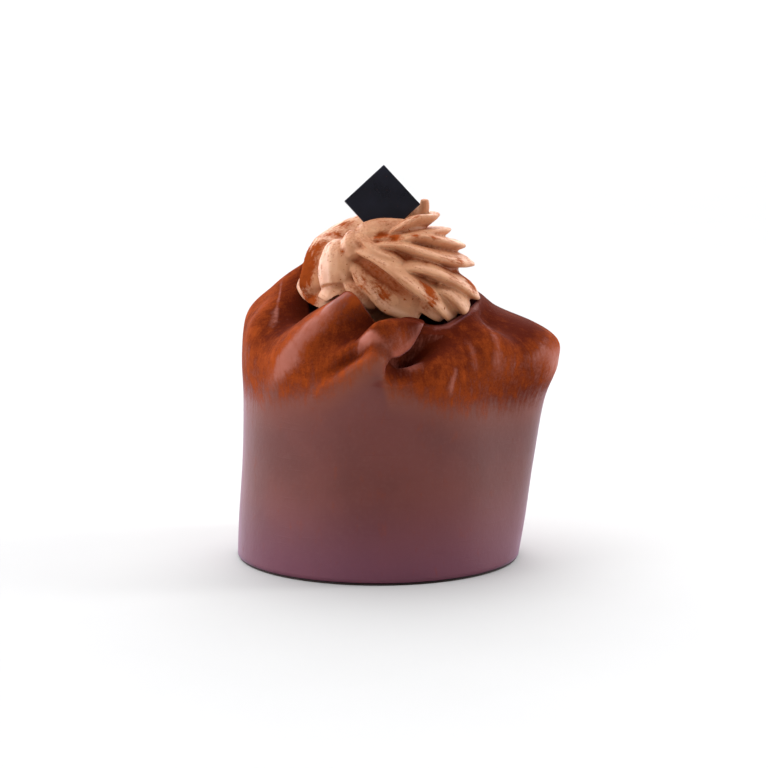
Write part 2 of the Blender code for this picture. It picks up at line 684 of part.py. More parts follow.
def build_cream(material, wrap, slot):
    """The rosette: blades of cream that have run together. It rests in the sheet's hollow with
    a gap all round, and has a slot for the plaque."""
    piece = add_object("cream_rosette", rosette_mesh(), material)
    piece.data = fused(piece, CREAM_VOXEL)
    piece.data.materials.append(material)
    room = add_object("cream_room", wrap.data.copy(), material)
    room.data = swollen(room, CREAM_VOXEL, CREAM_GAP)
    cut_away(piece, room, "MANIFOLD")
    piece.data = fused(piece, CREAM_VOXEL)
    largest_only(piece.data)
    piece.data = thinned(piece, CREAM_TRIANGLES)
    bpy.data.objects.remove(room, do_unlink=True)
    shade_round(piece.data)
    cut_away(piece, slot)
    return piece


def plaque_block(name, side, thickness):
    """A square plate that stands on its corner, leaning back."""
    mesh = bmesh.new()
    bmesh.ops.create_cube(mesh, size=1.0)
    bmesh.ops.scale(mesh, vec=Vector((side, thickness, side)) * MM, verts=mesh.verts)
    turn = (
        Matrix.Rotation(np.radians(-PLAQUE_LEAN), 4, "X")
        @ Matrix.Rotation(np.radians(PLAQUE_ROLL), 4, "Y")
        @ Matrix.Rotation(np.radians(45.0), 4, "Y")
    )
    bmesh.ops.transform(
        mesh, matrix=Matrix.Translation(Vector(PLAQUE_CENTRE) * MM) @ turn, verts=mesh.verts
    )
    data = bpy.data.meshes.new(name)
    mesh.to_mesh(data)
    mesh.free()
    return data


def build_plaque(material):
    return add_object(
        "plaque", plaque_block("plaque", PLAQUE_SIDE, PLAQUE_THICKNESS), material
    )


def build_slot(material):
    """The space that the plaque takes in the cream, with a gap all round."""
    data = plaque_block("plaque_slot", PLAQUE_SIDE + 2 * GAP, PLAQUE_THICKNESS + 2 * GAP)
    slot = add_object("plaque_slot", data, material)
    slot.hide_render = True
    slot.display_type = "WIRE"
    return slot


def main():
    for old in list(bpy.data.objects):
        bpy.data.objects.remove(old, do_unlink=True)
    chocolate = make_material("milk_chocolate", (0.155, 0.052, 0.040), 0.42)
    dark = make_material("dark_chocolate", (0.030, 0.014, 0.012), 0.5)
    cream = make_material("mocha_cream", (0.56, 0.32, 0.21), 0.55)
    glaze = make_material("plaque_glaze", (0.013, 0.014, 0.020), 0.25)
    wrap = build_wrap(chocolate)
    build_base(dark)
    build_plaque(glaze)
    build_cream(cream, wrap, build_slot(glaze))


main()
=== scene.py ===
"""The looks of the wrapped merveilleux: its chocolate sheet, piped cream, plaque and cocoa.

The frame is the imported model's: the origin is on the table under the middle of the foot, +Z is
up and the front faces -Y. Angles round the cake are in degrees: 0 is right (+X), 90 back, 180
left and 270 front. Lengths are in millimetres until the meshes are made.
"""

from collections import namedtuple

import bmesh
import bpy
import numpy as np
from mathutils import Matrix, Vector
from mathutils.kdtree import KDTree


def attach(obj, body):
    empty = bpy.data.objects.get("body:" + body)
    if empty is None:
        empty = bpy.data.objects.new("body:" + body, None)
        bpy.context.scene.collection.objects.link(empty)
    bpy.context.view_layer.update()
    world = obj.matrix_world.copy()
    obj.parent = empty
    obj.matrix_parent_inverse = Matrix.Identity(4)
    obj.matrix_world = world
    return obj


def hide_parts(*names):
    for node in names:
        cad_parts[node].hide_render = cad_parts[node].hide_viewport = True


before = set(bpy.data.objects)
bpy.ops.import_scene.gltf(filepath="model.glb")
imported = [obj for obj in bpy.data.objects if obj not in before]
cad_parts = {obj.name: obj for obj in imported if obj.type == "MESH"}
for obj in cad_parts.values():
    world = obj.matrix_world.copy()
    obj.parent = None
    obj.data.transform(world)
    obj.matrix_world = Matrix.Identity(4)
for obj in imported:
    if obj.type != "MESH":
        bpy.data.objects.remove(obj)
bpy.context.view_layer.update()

MM = 0.001
GAP = 0.3

# ---- the chocolate sheet ----

# One level of the sheet, from its lower edge (v = 0) to its upper rim (v = 1). The level is a
# circle whose height rises by lean_right towards +X and by lean_back towards +Y.
Level = namedtuple("Level", "v radius centre_x height lean_right lean_back")
LEVELS = (
    Level(0.00, 36.0, -0.1, 0.7, 0.0, 0.0),
    Level(0.10, 35.7, -0.1, 8.3, 0.0, 0.0),
    Level(0.30, 34.8, 0.2, 26.4, 0.0, 0.0),
    Level(0.46, 34.6, 0.3, 41.4, 0.0, 0.6),
    Level(0.58, 34.7, 0.2, 51.4, -0.8, 1.6),
    Level(0.68, 33.2, 0.1, 58.6, -0.8, 2.0),
    Level(0.84, 27.0, 1.2, 66.4, -1.6, 2.0),
    Level(1.00, 22.3, 2.9, 70.6, -3.4, 2.0),
)

# A fold is a ridge (height above 0) or a valley that runs up the sheet through its stations.
# Its sides fall off over the widths to its left and right, seen from outside. It pushes the
# sheet along the sheet's own normal, straight out or straight up.
Fold = namedtuple("Fold", "v angle height left right way")
FRONT_FOLDS = (
    # the ear that bulges out at the right, and the valley before it
    Fold((0.00, 0.10, 0.30, 0.46, 0.58, 0.66, 0.72, 0.78, 0.84),
         (-3, -3, -4, -5, -7, -8, -8, -8, -8),
         (0.0, 1.6, 4.7, 7.4, 10.6, 11.4, 7.6, 1.4, 0.0), 13.0, 13.0, "out"),
    Fold((0.52, 0.64, 0.78, 0.92, 1.00), (335, 336, 338, 342, 344),
         (0.0, -1.8, -2.2, -0.6, 0.0), 4.5, 4.5, "normal"),
    # the soft pleat between the ear and the pinch, and the collar at the right of the rim
    Fold((0.50, 0.62, 0.78, 0.94, 1.00), (331, 328, 324, 320, 318),
         (0.0, 1.0, 1.4, 0.8, 0.0), 5.0, 6.0, "normal"),
    Fold((0.50, 0.62, 0.80, 1.00), (315, 311, 307, 305),
         (0.0, -0.8, -1.4, -1.2), 6.0, 6.0, "up"),
    Fold((0.86, 0.94, 1.00), (340, 340, 340), (0.0, 0.8, 1.4), 8.0, 8.0, "normal"),
    # the front of the top, which lies lower than the back
    Fold((0.46, 0.58, 0.72, 0.86, 1.00), (275, 275, 278, 282, 285),
         (0.0, -1.4, -3.0, -4.4, -5.6), 26.0, 26.0, "up"),
    # the crest that climbs from the front wall to the pinch, and the valley above it
    Fold((0.46, 0.55, 0.60, 0.64, 0.67, 0.70, 0.74), (240, 248, 254, 259, 262.5, 265, 268),
         (0.0, 0.8, 2.0, 2.8, 2.8, 1.4, 0.0), 2.8, 7.0, "normal"),
    Fold((0.56, 0.62, 0.66, 0.70, 0.74), (247, 253, 257, 261, 265),
         (0.0, -1.4, -2.4, -1.8, 0.0), 2.4, 2.4, "normal"),
    # the crest above that valley, which the pinch's flap grows out of
    Fold((0.62, 0.70, 0.76, 0.82, 0.90), (252, 256, 262, 268, 272),
         (0.0, 1.0, 2.2, 2.4, 0.6), 3.4, 4.4, "normal"),
    # the hollow between the broad pleat and the pinch
    Fold((0.66, 0.76, 0.86, 1.00), (246, 252, 258, 264),
         (0.0, -1.2, -2.6, -3.4), 4.6, 4.6, "up"),
    # the pocket under the pinch
    Fold((0.58, 0.65, 0.71, 0.78, 0.86), (276, 278, 281, 286, 291),
         (0.0, -3.6, -8.4, -7.0, 0.0), 4.0, 6.0, "normal"),
    # the broad pleat left of the pinch with its peak, the wide valley beside it and the wing
    Fold((0.44, 0.56, 0.68, 0.84, 1.00), (216, 222, 231, 240, 246),
         (0.0, 0.8, 2.2, 2.4, 2.4), 5.4, 4.6, "normal"),
    Fold((0.72, 0.82, 0.92, 1.00), (236, 241, 245, 247),
         (0.0, 1.0, 2.2, 3.0), 3.0, 3.4, "normal"),
    Fold((0.50, 0.60, 0.72, 0.86, 1.00), (214, 214, 212, 209, 207),
         (0.0, -0.6, -2.6, -6.0, -10.5), 7.5, 7.0, "up"),
    Fold((0.50, 0.62, 0.78, 0.90), (203, 201, 197, 195),
         (0.0, 0.7, 1.3, 0.0), 4.5, 4.5, "normal"),
    Fold((0.56, 0.66, 0.72, 0.84, 1.00), (176, 175, 174, 174, 176),
         (0.0, 0.8, 1.6, 1.8, 2.0), 6.0, 4.0, "normal"),
)

# The pleats of the back, laid out by a rule: a ridge with a valley beside it, again and again.
BACK_PLEATS = 5
BACK_FROM, BACK_TO = 28.0, 160.0
BACK_RIDGE, BACK_VALLEY = 2.4, -2.8
BACK_DRIFT = 9.0
BACK_SEED = 7

# The pinch, where the sheet doubles back under itself. Its edge climbs the front wall, turns
# and runs right to the rim. Along the edge: how far the layers overlap and how high the upper
# one stands.
Station = namedtuple("Station", "angle v overlap lift")
PINCH = (
    Station(272.0, 0.600, 0.0, 0.0),
    Station(272.4, 0.635, 1.2, 1.4),
    Station(272.8, 0.668, 2.2, 2.8),
    Station(274.4, 0.698, 4.0, 4.0),
    Station(279.0, 0.738, 7.6, 5.0),
    Station(284.2, 0.796, 9.6, 4.6),
    Station(287.6, 0.856, 7.8, 3.4),
    Station(289.2, 0.930, 5.0, 2.0),
    Station(290.0, 1.100, 2.0, 1.0),
)
PINCH_HALF_WIDTH = 5.0
PINCH_SLOPE = 9.0
PINCH_ORIGIN = 276.0
# The upper layer slides over the lower one this far below straight right.
PINCH_WAY = 30.0

# ---- the sheet's edges and the hollow that the cream sits in ----

SHEET_THICKNESS = 1.3
HOLLOW_CENTRE_X = 3.2
HOLLOW_FLOOR_Z = 56.2
HOLLOW_FLOOR_RADIUS = 15.0
RECESS_DEPTH = 2.2
BASE_THICKNESS = 1.9
BASE_RIM_THICKNESS = 0.4
BASE_RIM_INSET = 0.4

DENSE_AT = 268.0
DENSE_SPREAD = 22.0

# ---- the piped rosette ----

# The rosette's outline down its side, from its upper rim: how far down the slope, radius and
# height. The crests of its blades touch this outline, and the grooves lie inside it.
OUTLINE = (
    (-11.5, 0.0, 84.8),
    (-6.0, 5.5, 85.6),
    (0.0, 11.0, 86.6),
    (3.9, 14.4, 84.3),
    (7.7, 17.3, 81.7),
    (12.3, 19.7, 77.9),
    (16.6, 21.2, 73.9),
    (21.8, 22.7, 68.9),
    (25.9, 22.2, 64.9),
    (29.0, 20.8, 62.2),
    (32.1, 18.4, 60.4),
)
ROSETTE_CENTRE_X = 2.2
GROOVE_DEPTH = 3.4
# The core follows the outline inside the grooves down to here, and then narrows to its foot:
# radius and height.
CORE_DOWN_TO = 20.0
CORE_FOOT = ((12.5, 66.0), (8.6, 62.8), (7.6, 58.6), (7.6, 55.2))
# The rosette's upper left, which sank: how far, down to where on the slope.
LEFT_SINK = 4.4
LEFT_SINK_TO = 15.0

# A blade is a ridge that the star tip left: its angles, how far down the slope it lies at each
# of them, its size there, how far out of the outline it stands and its section. Past 360 it
# goes on round the back. A section runs across the slope (down is positive) and out from the
# grooves: blades overlap like shingles, and petals are round or flat.
SHINGLE = (
    (-4.4, -2.4), (-3.6, -0.6), (-2.8, 1.0), (-1.8, 2.2), (-0.6, 3.1), (0.5, 3.7), (1.0, 3.5),
    (0.9, 2.4), (0.4, 0.8), (-0.2, -0.8), (-0.8, -2.2), (-2.0, -3.2),
)
PETAL = (
    (-3.3, -2.6), (-3.2, -0.6), (-2.4, 1.4), (-1.0, 2.6), (0.3, 2.9), (1.6, 2.4), (2.7, 1.0),
    (3.2, -0.8), (3.0, -2.6), (0.0, -3.4),
)
FLAT_PETAL = (
    (-3.6, -2.6), (-3.8, -0.4), (-3.4, 1.0), (-2.2, 2.1), (-0.4, 2.9), (1.6, 2.9), (3.0, 2.2),
    (3.9, 0.8), (3.7, -2.6), (0.0, -3.4),
)
Blade = namedtuple("Blade", "angle down size out section", defaults=(0.0, SHINGLE))
BLADES = (
    Blade((240, 246, 260, 266, 276, 291, 295), (12.4, 16.0, 21.4, 24.1, 26.4, 28.1, 28.7),
          (0.2, 0.75, 1.1, 1.1, 1.1, 0.9, 0.4)),
    Blade((236, 244, 262, 274, 284, 297, 313, 323, 332),
          (7.4, 9.4, 12.8, 15.9, 19.2, 23.1, 27.6, 29.6, 30.4),
          (0.3, 0.7, 1.0, 1.2, 1.3, 1.25, 1.25, 1.15, 0.6)),
    Blade((272, 285, 294, 305, 315, 336, 360, 400, 440),
          (15.4, 14.8, 15.5, 17.0, 18.7, 22.6, 24.6, 27.4, 29.5),
          (0.2, 0.8, 1.1, 1.3, 1.3, 1.3, 1.2, 1.1, 0.5)),
    Blade((228, 236, 246, 255, 264, 275, 287), (-0.4, 2.2, 5.8, 8.6, 10.8, 12.2, 13.4),
          (0.3, 0.7, 0.8, 0.85, 0.85, 0.75, 0.2)),
    Blade((251, 264, 280, 293, 304, 330, 360, 420, 470, 505),
          (6.1, 7.6, 8.5, 10.4, 12.0, 14.6, 15.6, 18.6, 22.6, 28.0),
          (0.2, 0.7, 0.9, 1.0, 1.1, 1.2, 1.2, 1.2, 1.2, 0.8)),
    Blade((265, 278, 288, 302, 316, 336, 361, 420, 480, 515, 532),
          (6.5, 6.5, 6.0, 6.0, 7.6, 9.3, 10.6, 13.0, 17.0, 21.5, 28.0),
          (0.2, 0.7, 0.8, 1.0, 1.1, 1.1, 1.1, 1.1, 1.2, 1.1, 0.8)),
    Blade((246, 264, 282, 302, 322, 363, 420, 480, 520, 545, 562, 572, 580, 588),
          (3.4, 5.0, 4.9, 4.5, 4.4, 5.2, 7.0, 10.0, 15.0, 20.0, 23.6, 25.2, 26.2, 26.8),
          (0.2, 0.6, 0.7, 0.8, 0.9, 1.0, 1.1, 1.1, 1.2, 1.1, 0.9, 0.75, 0.65, 0.35)),
    Blade((273, 285, 306, 336, 363, 420, 480, 526, 546, 557, 561, 563, 565, 567),
          (3.6, 2.7, 1.0, 1.1, 1.0, 1.6, 2.6, 4.6, 7.0, 10.5, 14.4, 18.0, 21.0, 23.6),
          (0.2, 0.6, 0.9, 0.9, 0.9, 1.0, 1.1, 1.1, 1.0, 0.9, 0.9, 0.9, 0.85, 0.4), 1.6),
    Blade((200, 209, 216, 222, 226, 229, 231), (3.0, 5.0, 7.5, 10.5, 13.5, 16.5, 19.5),
          (0.55, 0.75, 0.9, 1.05, 1.2, 1.25, 1.05), 1.1, FLAT_PETAL),
    Blade((219, 226, 232, 237, 240), (22.8, 22.6, 23.2, 24.4, 25.8),
          (0.4, 0.8, 0.95, 0.8, 0.4), 1.3),
    Blade((214, 222, 229, 234, 238, 242), (-0.6, 1.4, 4.0, 6.8, 9.2, 11.2),
          (0.5, 0.75, 0.9, 0.95, 0.9, 0.5), 1.2, PETAL),
    Blade((286, 293, 300, 307, 314, 320), (24.2, 25.8, 27.2, 28.6, 29.8, 30.6),
          (0.3, 0.8, 1.0, 1.0, 0.8, 0.3)),
    Blade((238, 244, 250, 256, 261), (17.6, 20.2, 22.6, 24.6, 26.0),
          (0.4, 0.8, 0.9, 0.75, 0.3), 0.4),
    Blade((303, 309, 314, 320, 327, 334, 340), (20.2, 21.6, 23.0, 24.8, 26.6, 28.0, 29.0),
          (0.4, 0.9, 1.2, 1.4, 1.45, 1.35, 1.0), 0.5),
    Blade((205, 230, 260, 290, 320, 340), (-3.0, -3.2, -3.6, -3.8, -3.4, -3.0),
          (0.7, 1.1, 1.1, 0.95, 0.7, 0.3), 0.8, PETAL),
)
BLADE_STEP = 1.4

# The tail that the tip left when it was lifted off: x, y, z and radius.
TAIL = (
    (2.0, 1.0, 81.4, 5.0),
    (6.5, 1.5, 84.4, 4.2),
    (10.0, 1.0, 87.0, 2.6),
    (11.4, 0.4, 88.8, 1.5),
    (11.6, 0.0, 90.6, 1.0),
)

CREAM_GAP = 0.55

# ---- the plaque ----

PLAQUE_SIDE = 13.5
PLAQUE_THICKNESS = 1.1
PLAQUE_CENTRE = (0.95, -3.0, 90.0)
PLAQUE_LEAN = 10.0
PLAQUE_ROLL = 2.3


def curve(at, knots, values):
    """A smooth curve through the values at the knots, level beyond both ends."""
    knots = np.asarray(knots, float)
    values = np.asarray(values, float)
    slopes = np.gradient(values, knots)
    at = np.clip(at, knots[0], knots[-1])
    i = np.clip(np.searchsorted(knots, at, side="right") - 1, 0, len(knots) - 2)
    step = knots[i + 1] - knots[i]
    t = (at - knots[i]) / step
    return (
        (2 * t**3 - 3 * t**2 + 1) * values[i]
        + (t**3 - 2 * t**2 + t) * step * slopes[i]
        + (3 * t**2 - 2 * t**3) * values[i + 1]
        + (t**3 - t**2) * step * slopes[i + 1]
    )


def ease(t):
    """0 to 1 with level ends."""
    t = np.clip(t, 0.0, 1.0)
    return t * t * (3 - 2 * t)


def turn_between(a, b):
    """Degrees from b to a, between -180 and 180."""
    return (a - b + 180.0) % 360.0 - 180.0


def beside(angle, at, spread):
    """1 at an angle, falling off to both sides over the spread."""
    return np.exp(-((turn_between(angle, at) / spread) ** 2))


def path_length(points):
    """How far along the path each point lies."""
    steps = np.linalg.norm(np.diff(points, axis=0), axis=1)
    return np.concatenate([[0.0], np.cumsum(steps)])


def unit(vectors):
    return vectors / np.maximum(np.linalg.norm(vectors, axis=-1, keepdims=True), 1e-9)


def xyz(x, y, z):
    return np.stack([x, y, z], axis=-1)


def level_value(name, v):
    return curve(v, [x.v for x in LEVELS], [getattr(x, name) for x in LEVELS])


def mm_per_degree(v):
    return np.radians(level_value("radius", v))


def plain_sheet(angle, v):
    """The sheet without its folds."""
    radius = level_value("radius", v)
    across = np.cos(np.radians(angle))
    back = np.sin(np.radians(angle))
    lean = level_value("lean_right", v) * across + level_value("lean_back", v) * back
    return xyz(level_value("centre_x", v) + radius * across, radius * back,
               level_value("height", v) + lean)


def sheet_normal(angle, v):
    """The outward normal of the plain sheet."""
    along = plain_sheet(angle + 0.5, v) - plain_sheet(angle - 0.5, v)
    low, high = np.clip(v - 0.004, 0, 1), np.clip(v + 0.004, 0, 1)
    up = plain_sheet(angle, high) - plain_sheet(angle, low)
    return unit(np.cross(along, up))


def back_folds():
    """Ridges and valleys for the side that faces away, uneven but the same each time."""
    draw = np.random.default_rng(BACK_SEED)
    pitch = (BACK_TO - BACK_FROM) / BACK_PLEATS
    folds = []
    for i in range(BACK_PLEATS):
        at = BACK_FROM + pitch * (i + draw.uniform(0.35, 0.65))
        drift = BACK_DRIFT * draw.uniform(0.4, 1.2)
        strength = draw.uniform(0.75, 1.25)
        for height, offset in ((BACK_RIDGE, 0.0), (BACK_VALLEY, pitch * 0.42)):
            folds.append(Fold(
                (0.46, 0.60, 0.74, 0.88, 1.00),
                [at + offset + drift * s for s in (-0.4, 0.0, 0.5, 0.9, 1.1)],
                [height * strength * s for s in (0.0, 0.4, 1.0, 1.0, 0.9)],
                4.4, 5.2, "normal",
            ))
    return folds


FOLDS = (*FRONT_FOLDS, *back_folds())


def fold_push(angle, v):
    """How far the folds push the plain sheet, as vectors."""
    normal = sheet_normal(angle, v)
    radians = np.radians(angle)
    ways = {
        "normal": normal,
        "out": xyz(np.cos(radians), np.sin(radians), 0 * radians),
        "up": np.array([0.0, 0.0, 1.0]),
    }
    push = np.zeros_like(normal)
    for fold in FOLDS:
        across = turn_between(angle, curve(v, fold.v, fold.angle)) * mm_per_degree(v)
        width = np.where(across < 0, fold.left, fold.right)
        height = curve(v, fold.v, fold.height) * np.exp(-((across / width) ** 2))
        push += height[..., None] * ways[fold.way]
    return push


def slope_length(v):
    """Millimetres up the sheet to v, and how much v a millimetre is there."""
    fine = np.linspace(0.0, 1.2, 241)
    profile = np.stack([level_value("radius", fine), level_value("height", fine)], axis=-1)
    length = path_length(profile)
    # past the rim the sheet goes on as it does just below it
    rim = np.searchsorted(fine, 0.9999)
    length += np.maximum(fine - 1.0, 0.0) * (length[rim] - length[rim - 1]) * rim
    return np.interp(v, fine, length), 1.0 / np.interp(v, fine, np.gradient(length, fine))


def beside_pinch(angle, v):
    """For points on the sheet laid out flat: their distance from the pinch's edge, positive on
    the lower layer's side, the direction that way, and the overlap and lift there."""
    below = np.radians(PINCH_WAY)
    way = np.array([np.cos(below), -np.sin(below)])
    along = np.array([np.sin(below), np.cos(below)])
    def flat(a, w):
        return np.stack([turn_between(a, PINCH_ORIGIN) * mm_per_degree(w), slope_length(w)[0]], -1)
    angles, levels, overlaps, lifts = np.transpose(PINCH)
    edge, point = flat(angles, levels), flat(angle, v)
    knots, reach = edge @ along, point @ along
    overlap = np.maximum(curve(reach, knots, overlaps), 0.0)
    distance = point @ way - curve(reach, knots, edge @ way)
    distance += np.maximum(0.65 * overlap - PINCH_HALF_WIDTH / 3, 0.0)
    return distance, way, overlap, curve(reach, knots, lifts)


def folded_sheet(angle, v):
    """The sheet with its folds, and with the pinch that doubles it back."""
    distance, way, overlap, lift = beside_pinch(angle, v)
    share = np.clip(distance / PINCH_HALF_WIDTH, -1, 1)
    slide = -overlap * np.sin(np.pi * share) * (1 + np.cos(np.pi * share)) / 2
    climb = ease((distance + PINCH_SLOPE) / (PINCH_SLOPE - 0.4 * PINCH_HALF_WIDTH))
    drop = ease((distance + 0.5 * PINCH_HALF_WIDTH) / (0.9 * PINCH_HALF_WIDTH))
    angle = angle + slide * way[..., 0] / mm_per_degree(v)
    v = np.clip(v + slide * way[..., 1] * slope_length(v)[1], 0.0, 1.0)
    return (
        plain_sheet(angle, v)
        + fold_push(angle, v)
        + (lift * climb * (1 - drop))[..., None] * sheet_normal(angle, v)
    )


def spaced(fine, density, shares):
    """The places at these shares of the way along fine, closer where the density is high."""
    way = np.concatenate([[0.0], np.cumsum((density[1:] + density[:-1]) / 2)])
    return np.interp(shares * way[-1], way, fine)


def column_angles(count, extra):
    """Angles of the mesh's columns, closer together at the pinch: 1 + extra times as close."""
    fine = np.linspace(0.0, 360.0, 3601)
    density = 1.0 + extra * beside(fine, DENSE_AT, DENSE_SPREAD)
    return spaced(fine, density, np.arange(count) / count)


def column_drift(angle, v):
    """Turns the columns beside the pinch so that they follow its line up the sheet."""
    near = beside(angle, PINCH[0].angle, 40.0)
    line = curve(v, [s.v for s in PINCH], [s.angle for s in PINCH])
    return angle + near * (line - PINCH[0].angle)


def ring_of(angle, radius, height, centre_x=0.0):
    radians = np.radians(angle)
    return xyz(centre_x + radius * np.cos(radians), radius * np.sin(radians),
               np.full_like(radians, height))


def inner_rings(rim, angle):
    """The lip and the inside of the hollow, from the rim down to the floor."""
    centre = np.array([HOLLOW_CENTRE_X, 0.0, 0.0])
    spoke = (rim - centre) * (1, 1, 0)
    reach = np.linalg.norm(spoke, axis=-1, keepdims=True)
    spoke = spoke / reach
    lip = rim - spoke * SHEET_THICKNESS * 0.5 + (0, 0, SHEET_THICKNESS * 0.35)
    inside = rim - spoke * SHEET_THICKNESS - (0, 0, SHEET_THICKNESS * 0.2)
    floor = ring_of(angle, HOLLOW_FLOOR_RADIUS, HOLLOW_FLOOR_Z, HOLLOW_CENTRE_X)
    corner = ring_of(angle, HOLLOW_FLOOR_RADIUS + 4.2, HOLLOW_FLOOR_Z + 1.4, HOLLOW_CENTRE_X)
    return [lip, inside, 0.45 * inside + 0.55 * corner, corner, floor]


def foot_rings(angle, foot):
    """The sheet's lower edge and the recess that the base fills."""
    inner = foot - unit(foot * (1, 1, 0)) * SHEET_THICKNESS
    return [inner + (0, 0, RECESS_DEPTH), inner]


def taken_from(mesh, name):
    """The working mesh as mesh data."""
    data = bpy.data.meshes.new(name)
    mesh.to_mesh(data)
    mesh.free()
    return data


def mesh_from_rings(name, rings, bottom, top):
    """A closed mesh from rings of equal length, with a point that closes each end."""
    count = len(rings[0])
    mesh = bmesh.new()
    rows = [[mesh.verts.new(Vector(p) * MM) for p in ring] for ring in rings]
    for low, high in zip(rows, rows[1:]):
        for i in range(count):
            j = (i + 1) % count
            mesh.faces.new((low[i], low[j], high[j], high[i]))
    for tip, row, turn in ((bottom, rows[0], -1), (top, rows[-1], 1)):
        end = mesh.verts.new(Vector(tip) * MM)
        for i in range(count):
            pair = (row[i], row[(i + 1) % count])
            mesh.faces.new((*pair[::turn], end))
    return taken_from(mesh, name)


def add_object(name, data, material):
    piece = bpy.data.objects.new(name, data)
    bpy.context.scene.collection.objects.link(piece)
    data.materials.append(material)
    return piece


def build_base(material):
    """The dark base: a thin rim that shows under the sheet, and the part inside the sheet."""
    angle = np.linspace(0.0, 360.0, 64, endpoint=False)
    foot = folded_sheet(angle, np.zeros_like(angle))
    reach = np.linalg.norm(foot[:, :2], axis=1)
    rim, inside = reach - BASE_RIM_INSET, reach - SHEET_THICKNESS - GAP
    rings = [
        ring_of(angle, rim, 0.0),
        ring_of(angle, rim, BASE_RIM_THICKNESS),
        ring_of(angle, inside, BASE_RIM_THICKNESS),
        ring_of(angle, inside, BASE_THICKNESS),
    ]
    data = mesh_from_rings("dark_base", rings, (0.0, 0.0, 0.0), (0.0, 0.0, BASE_THICKNESS))
    data.shade_smooth()
    data.set_sharp_from_angle(angle=np.radians(50))
    return add_object("dark_base", data, material)


def on_rosette(angle, down, out=0.0):
    """A point at an angle and a distance down the rosette's side, out from its outline."""
    knots, radii, heights = np.transpose(OUTLINE)
    radius = curve(down, knots, radii)
    height = curve(down, knots, heights)
    along_r = curve(down + 0.3, knots, radii) - radius
    along_z = curve(down + 0.3, knots, heights) - height
    length = np.maximum(np.hypot(along_r, along_z), 1e-6)
    radius = radius - out * along_z / length
    height = height + out * along_r / length
    radians = np.radians(angle)
    leftness = (0.5 - 0.5 * np.cos(radians)) ** 5
    sink = LEFT_SINK * leftness * ease((LEFT_SINK_TO - down) / LEFT_SINK_TO)
    return xyz(ROSETTE_CENTRE_X + radius * np.cos(radians), radius * np.sin(radians),
               height - sink)


def blade_mesh(blade):
    """One blade: its section swept along its path on the rosette's side."""
    fine = np.linspace(blade.angle[0], blade.angle[-1], 400)
    down = curve(fine, blade.angle, blade.down)
    reach = path_length(on_rosette(fine, down))
    stops = np.linspace(0.0, reach[-1], int(reach[-1] / BLADE_STEP) + 1)
    angle = np.interp(stops, reach, fine)
    down = np.interp(stops, reach, down)
    size = curve(angle, blade.angle, blade.size)
    crest = on_rosette(angle, down)
    ahead = unit(np.gradient(crest, axis=0))
    outward = unit(on_rosette(angle, down, 1.0) - crest)
    across = unit(np.cross(outward, ahead))
    outward = np.cross(ahead, across)
    lower = crest + (blade.out - GROOVE_DEPTH) * outward
    rings = []
    for i in range(len(stops)):
        section = np.array(blade.section) * size[i]
        rings.append(lower[i] - section[:, :1] * across[i] + section[:, 1:] * outward[i])
    return mesh_from_rings("blade", rings, rings[0].mean(axis=0), rings[-1].mean(axis=0))


def core_mesh():
    """The cream under the blades, up to the bottom of the grooves, with its narrower foot."""
    angle = np.linspace(0.0, 360.0, 72, endpoint=False)
    downs = np.linspace(OUTLINE[0][0] + 1.5, CORE_DOWN_TO, 30)
    rings = [on_rosette(angle, np.full_like(angle, down), -GROOVE_DEPTH) for down in downs]
    rings += [ring_of(angle, *place, ROSETTE_CENTRE_X) for place in CORE_FOOT]
    rings = rings[::-1]
    return mesh_from_rings("core", rings, rings[0].mean(axis=0), rings[-1].mean(axis=0))


def tail_mesh():
    knots = np.arange(len(TAIL))
    stops = np.linspace(0, knots[-1], 14)
    path = np.transpose([curve(stops, knots, column) for column in np.transpose(TAIL)])
    ahead = unit(np.gradient(path[:, :3], axis=0))
    side = unit(np.cross(ahead, (0.0, 1.0, 0.0)))
    front = np.cross(side, ahead)
    around = np.radians(np.linspace(0.0, 360.0, 14, endpoint=False))[:, None]
    rings = [
        path[i, :3] + path[i, 3] * (np.cos(around) * side[i] - np.sin(around) * front[i])
        for i in range(len(stops))
    ]
    return mesh_from_rings("tail", rings, path[0, :3], path[-1, :3])


def rosette_mesh():
    """The core, the blades and the tail as closed shells that run into each other."""
    whole = bmesh.new()
    for data in (core_mesh(), *map(blade_mesh, BLADES), tail_mesh()):
        whole.from_mesh(data)
    bmesh.ops.recalc_face_normals(whole, faces=whole.faces)
    return taken_from(whole, "rosette")


def applied(piece):
    """The piece's mesh with its modifiers applied, which are then taken off."""
    graph = bpy.context.evaluated_depsgraph_get()
    data = bpy.data.meshes.new_from_object(piece.evaluated_get(graph))
    data.name = piece.name
    piece.modifiers.clear()
    return data


def modify(piece, kind, **settings):
    modifier = piece.modifiers.new(kind.lower(), kind)
    for name, value in settings.items():
        setattr(modifier, name, value)


def fused(piece, voxel):
    """The piece's shells run together into one skin."""
    modify(piece, "REMESH", mode="VOXEL", voxel_size=voxel * MM)
    return applied(piece)


def swollen(piece, voxel, swell):
    """The piece's skin moved out by the swell."""
    piece.data = fused(piece, voxel)
    modify(piece, "DISPLACE", mid_level=0.0, strength=swell * MM)
    return applied(piece)


def largest_only(data):
    """Drops every separate scrap but the largest."""
    mesh = bmesh.new()
    mesh.from_mesh(data)
    left = set(mesh.verts)
    groups = []
    while left:
        group = [left.pop()]
        for vertex in group:
            near = {edge.other_vert(vertex) for edge in vertex.link_edges} & left
            left -= near
            group.extend(sorted(near, key=lambda v: v.index))
        groups.append(group)
    groups.sort(key=len)
    bmesh.ops.delete(mesh, geom=[v for group in groups[:-1] for v in group], context="VERTS")
    mesh.to_mesh(data)
    mesh.free()


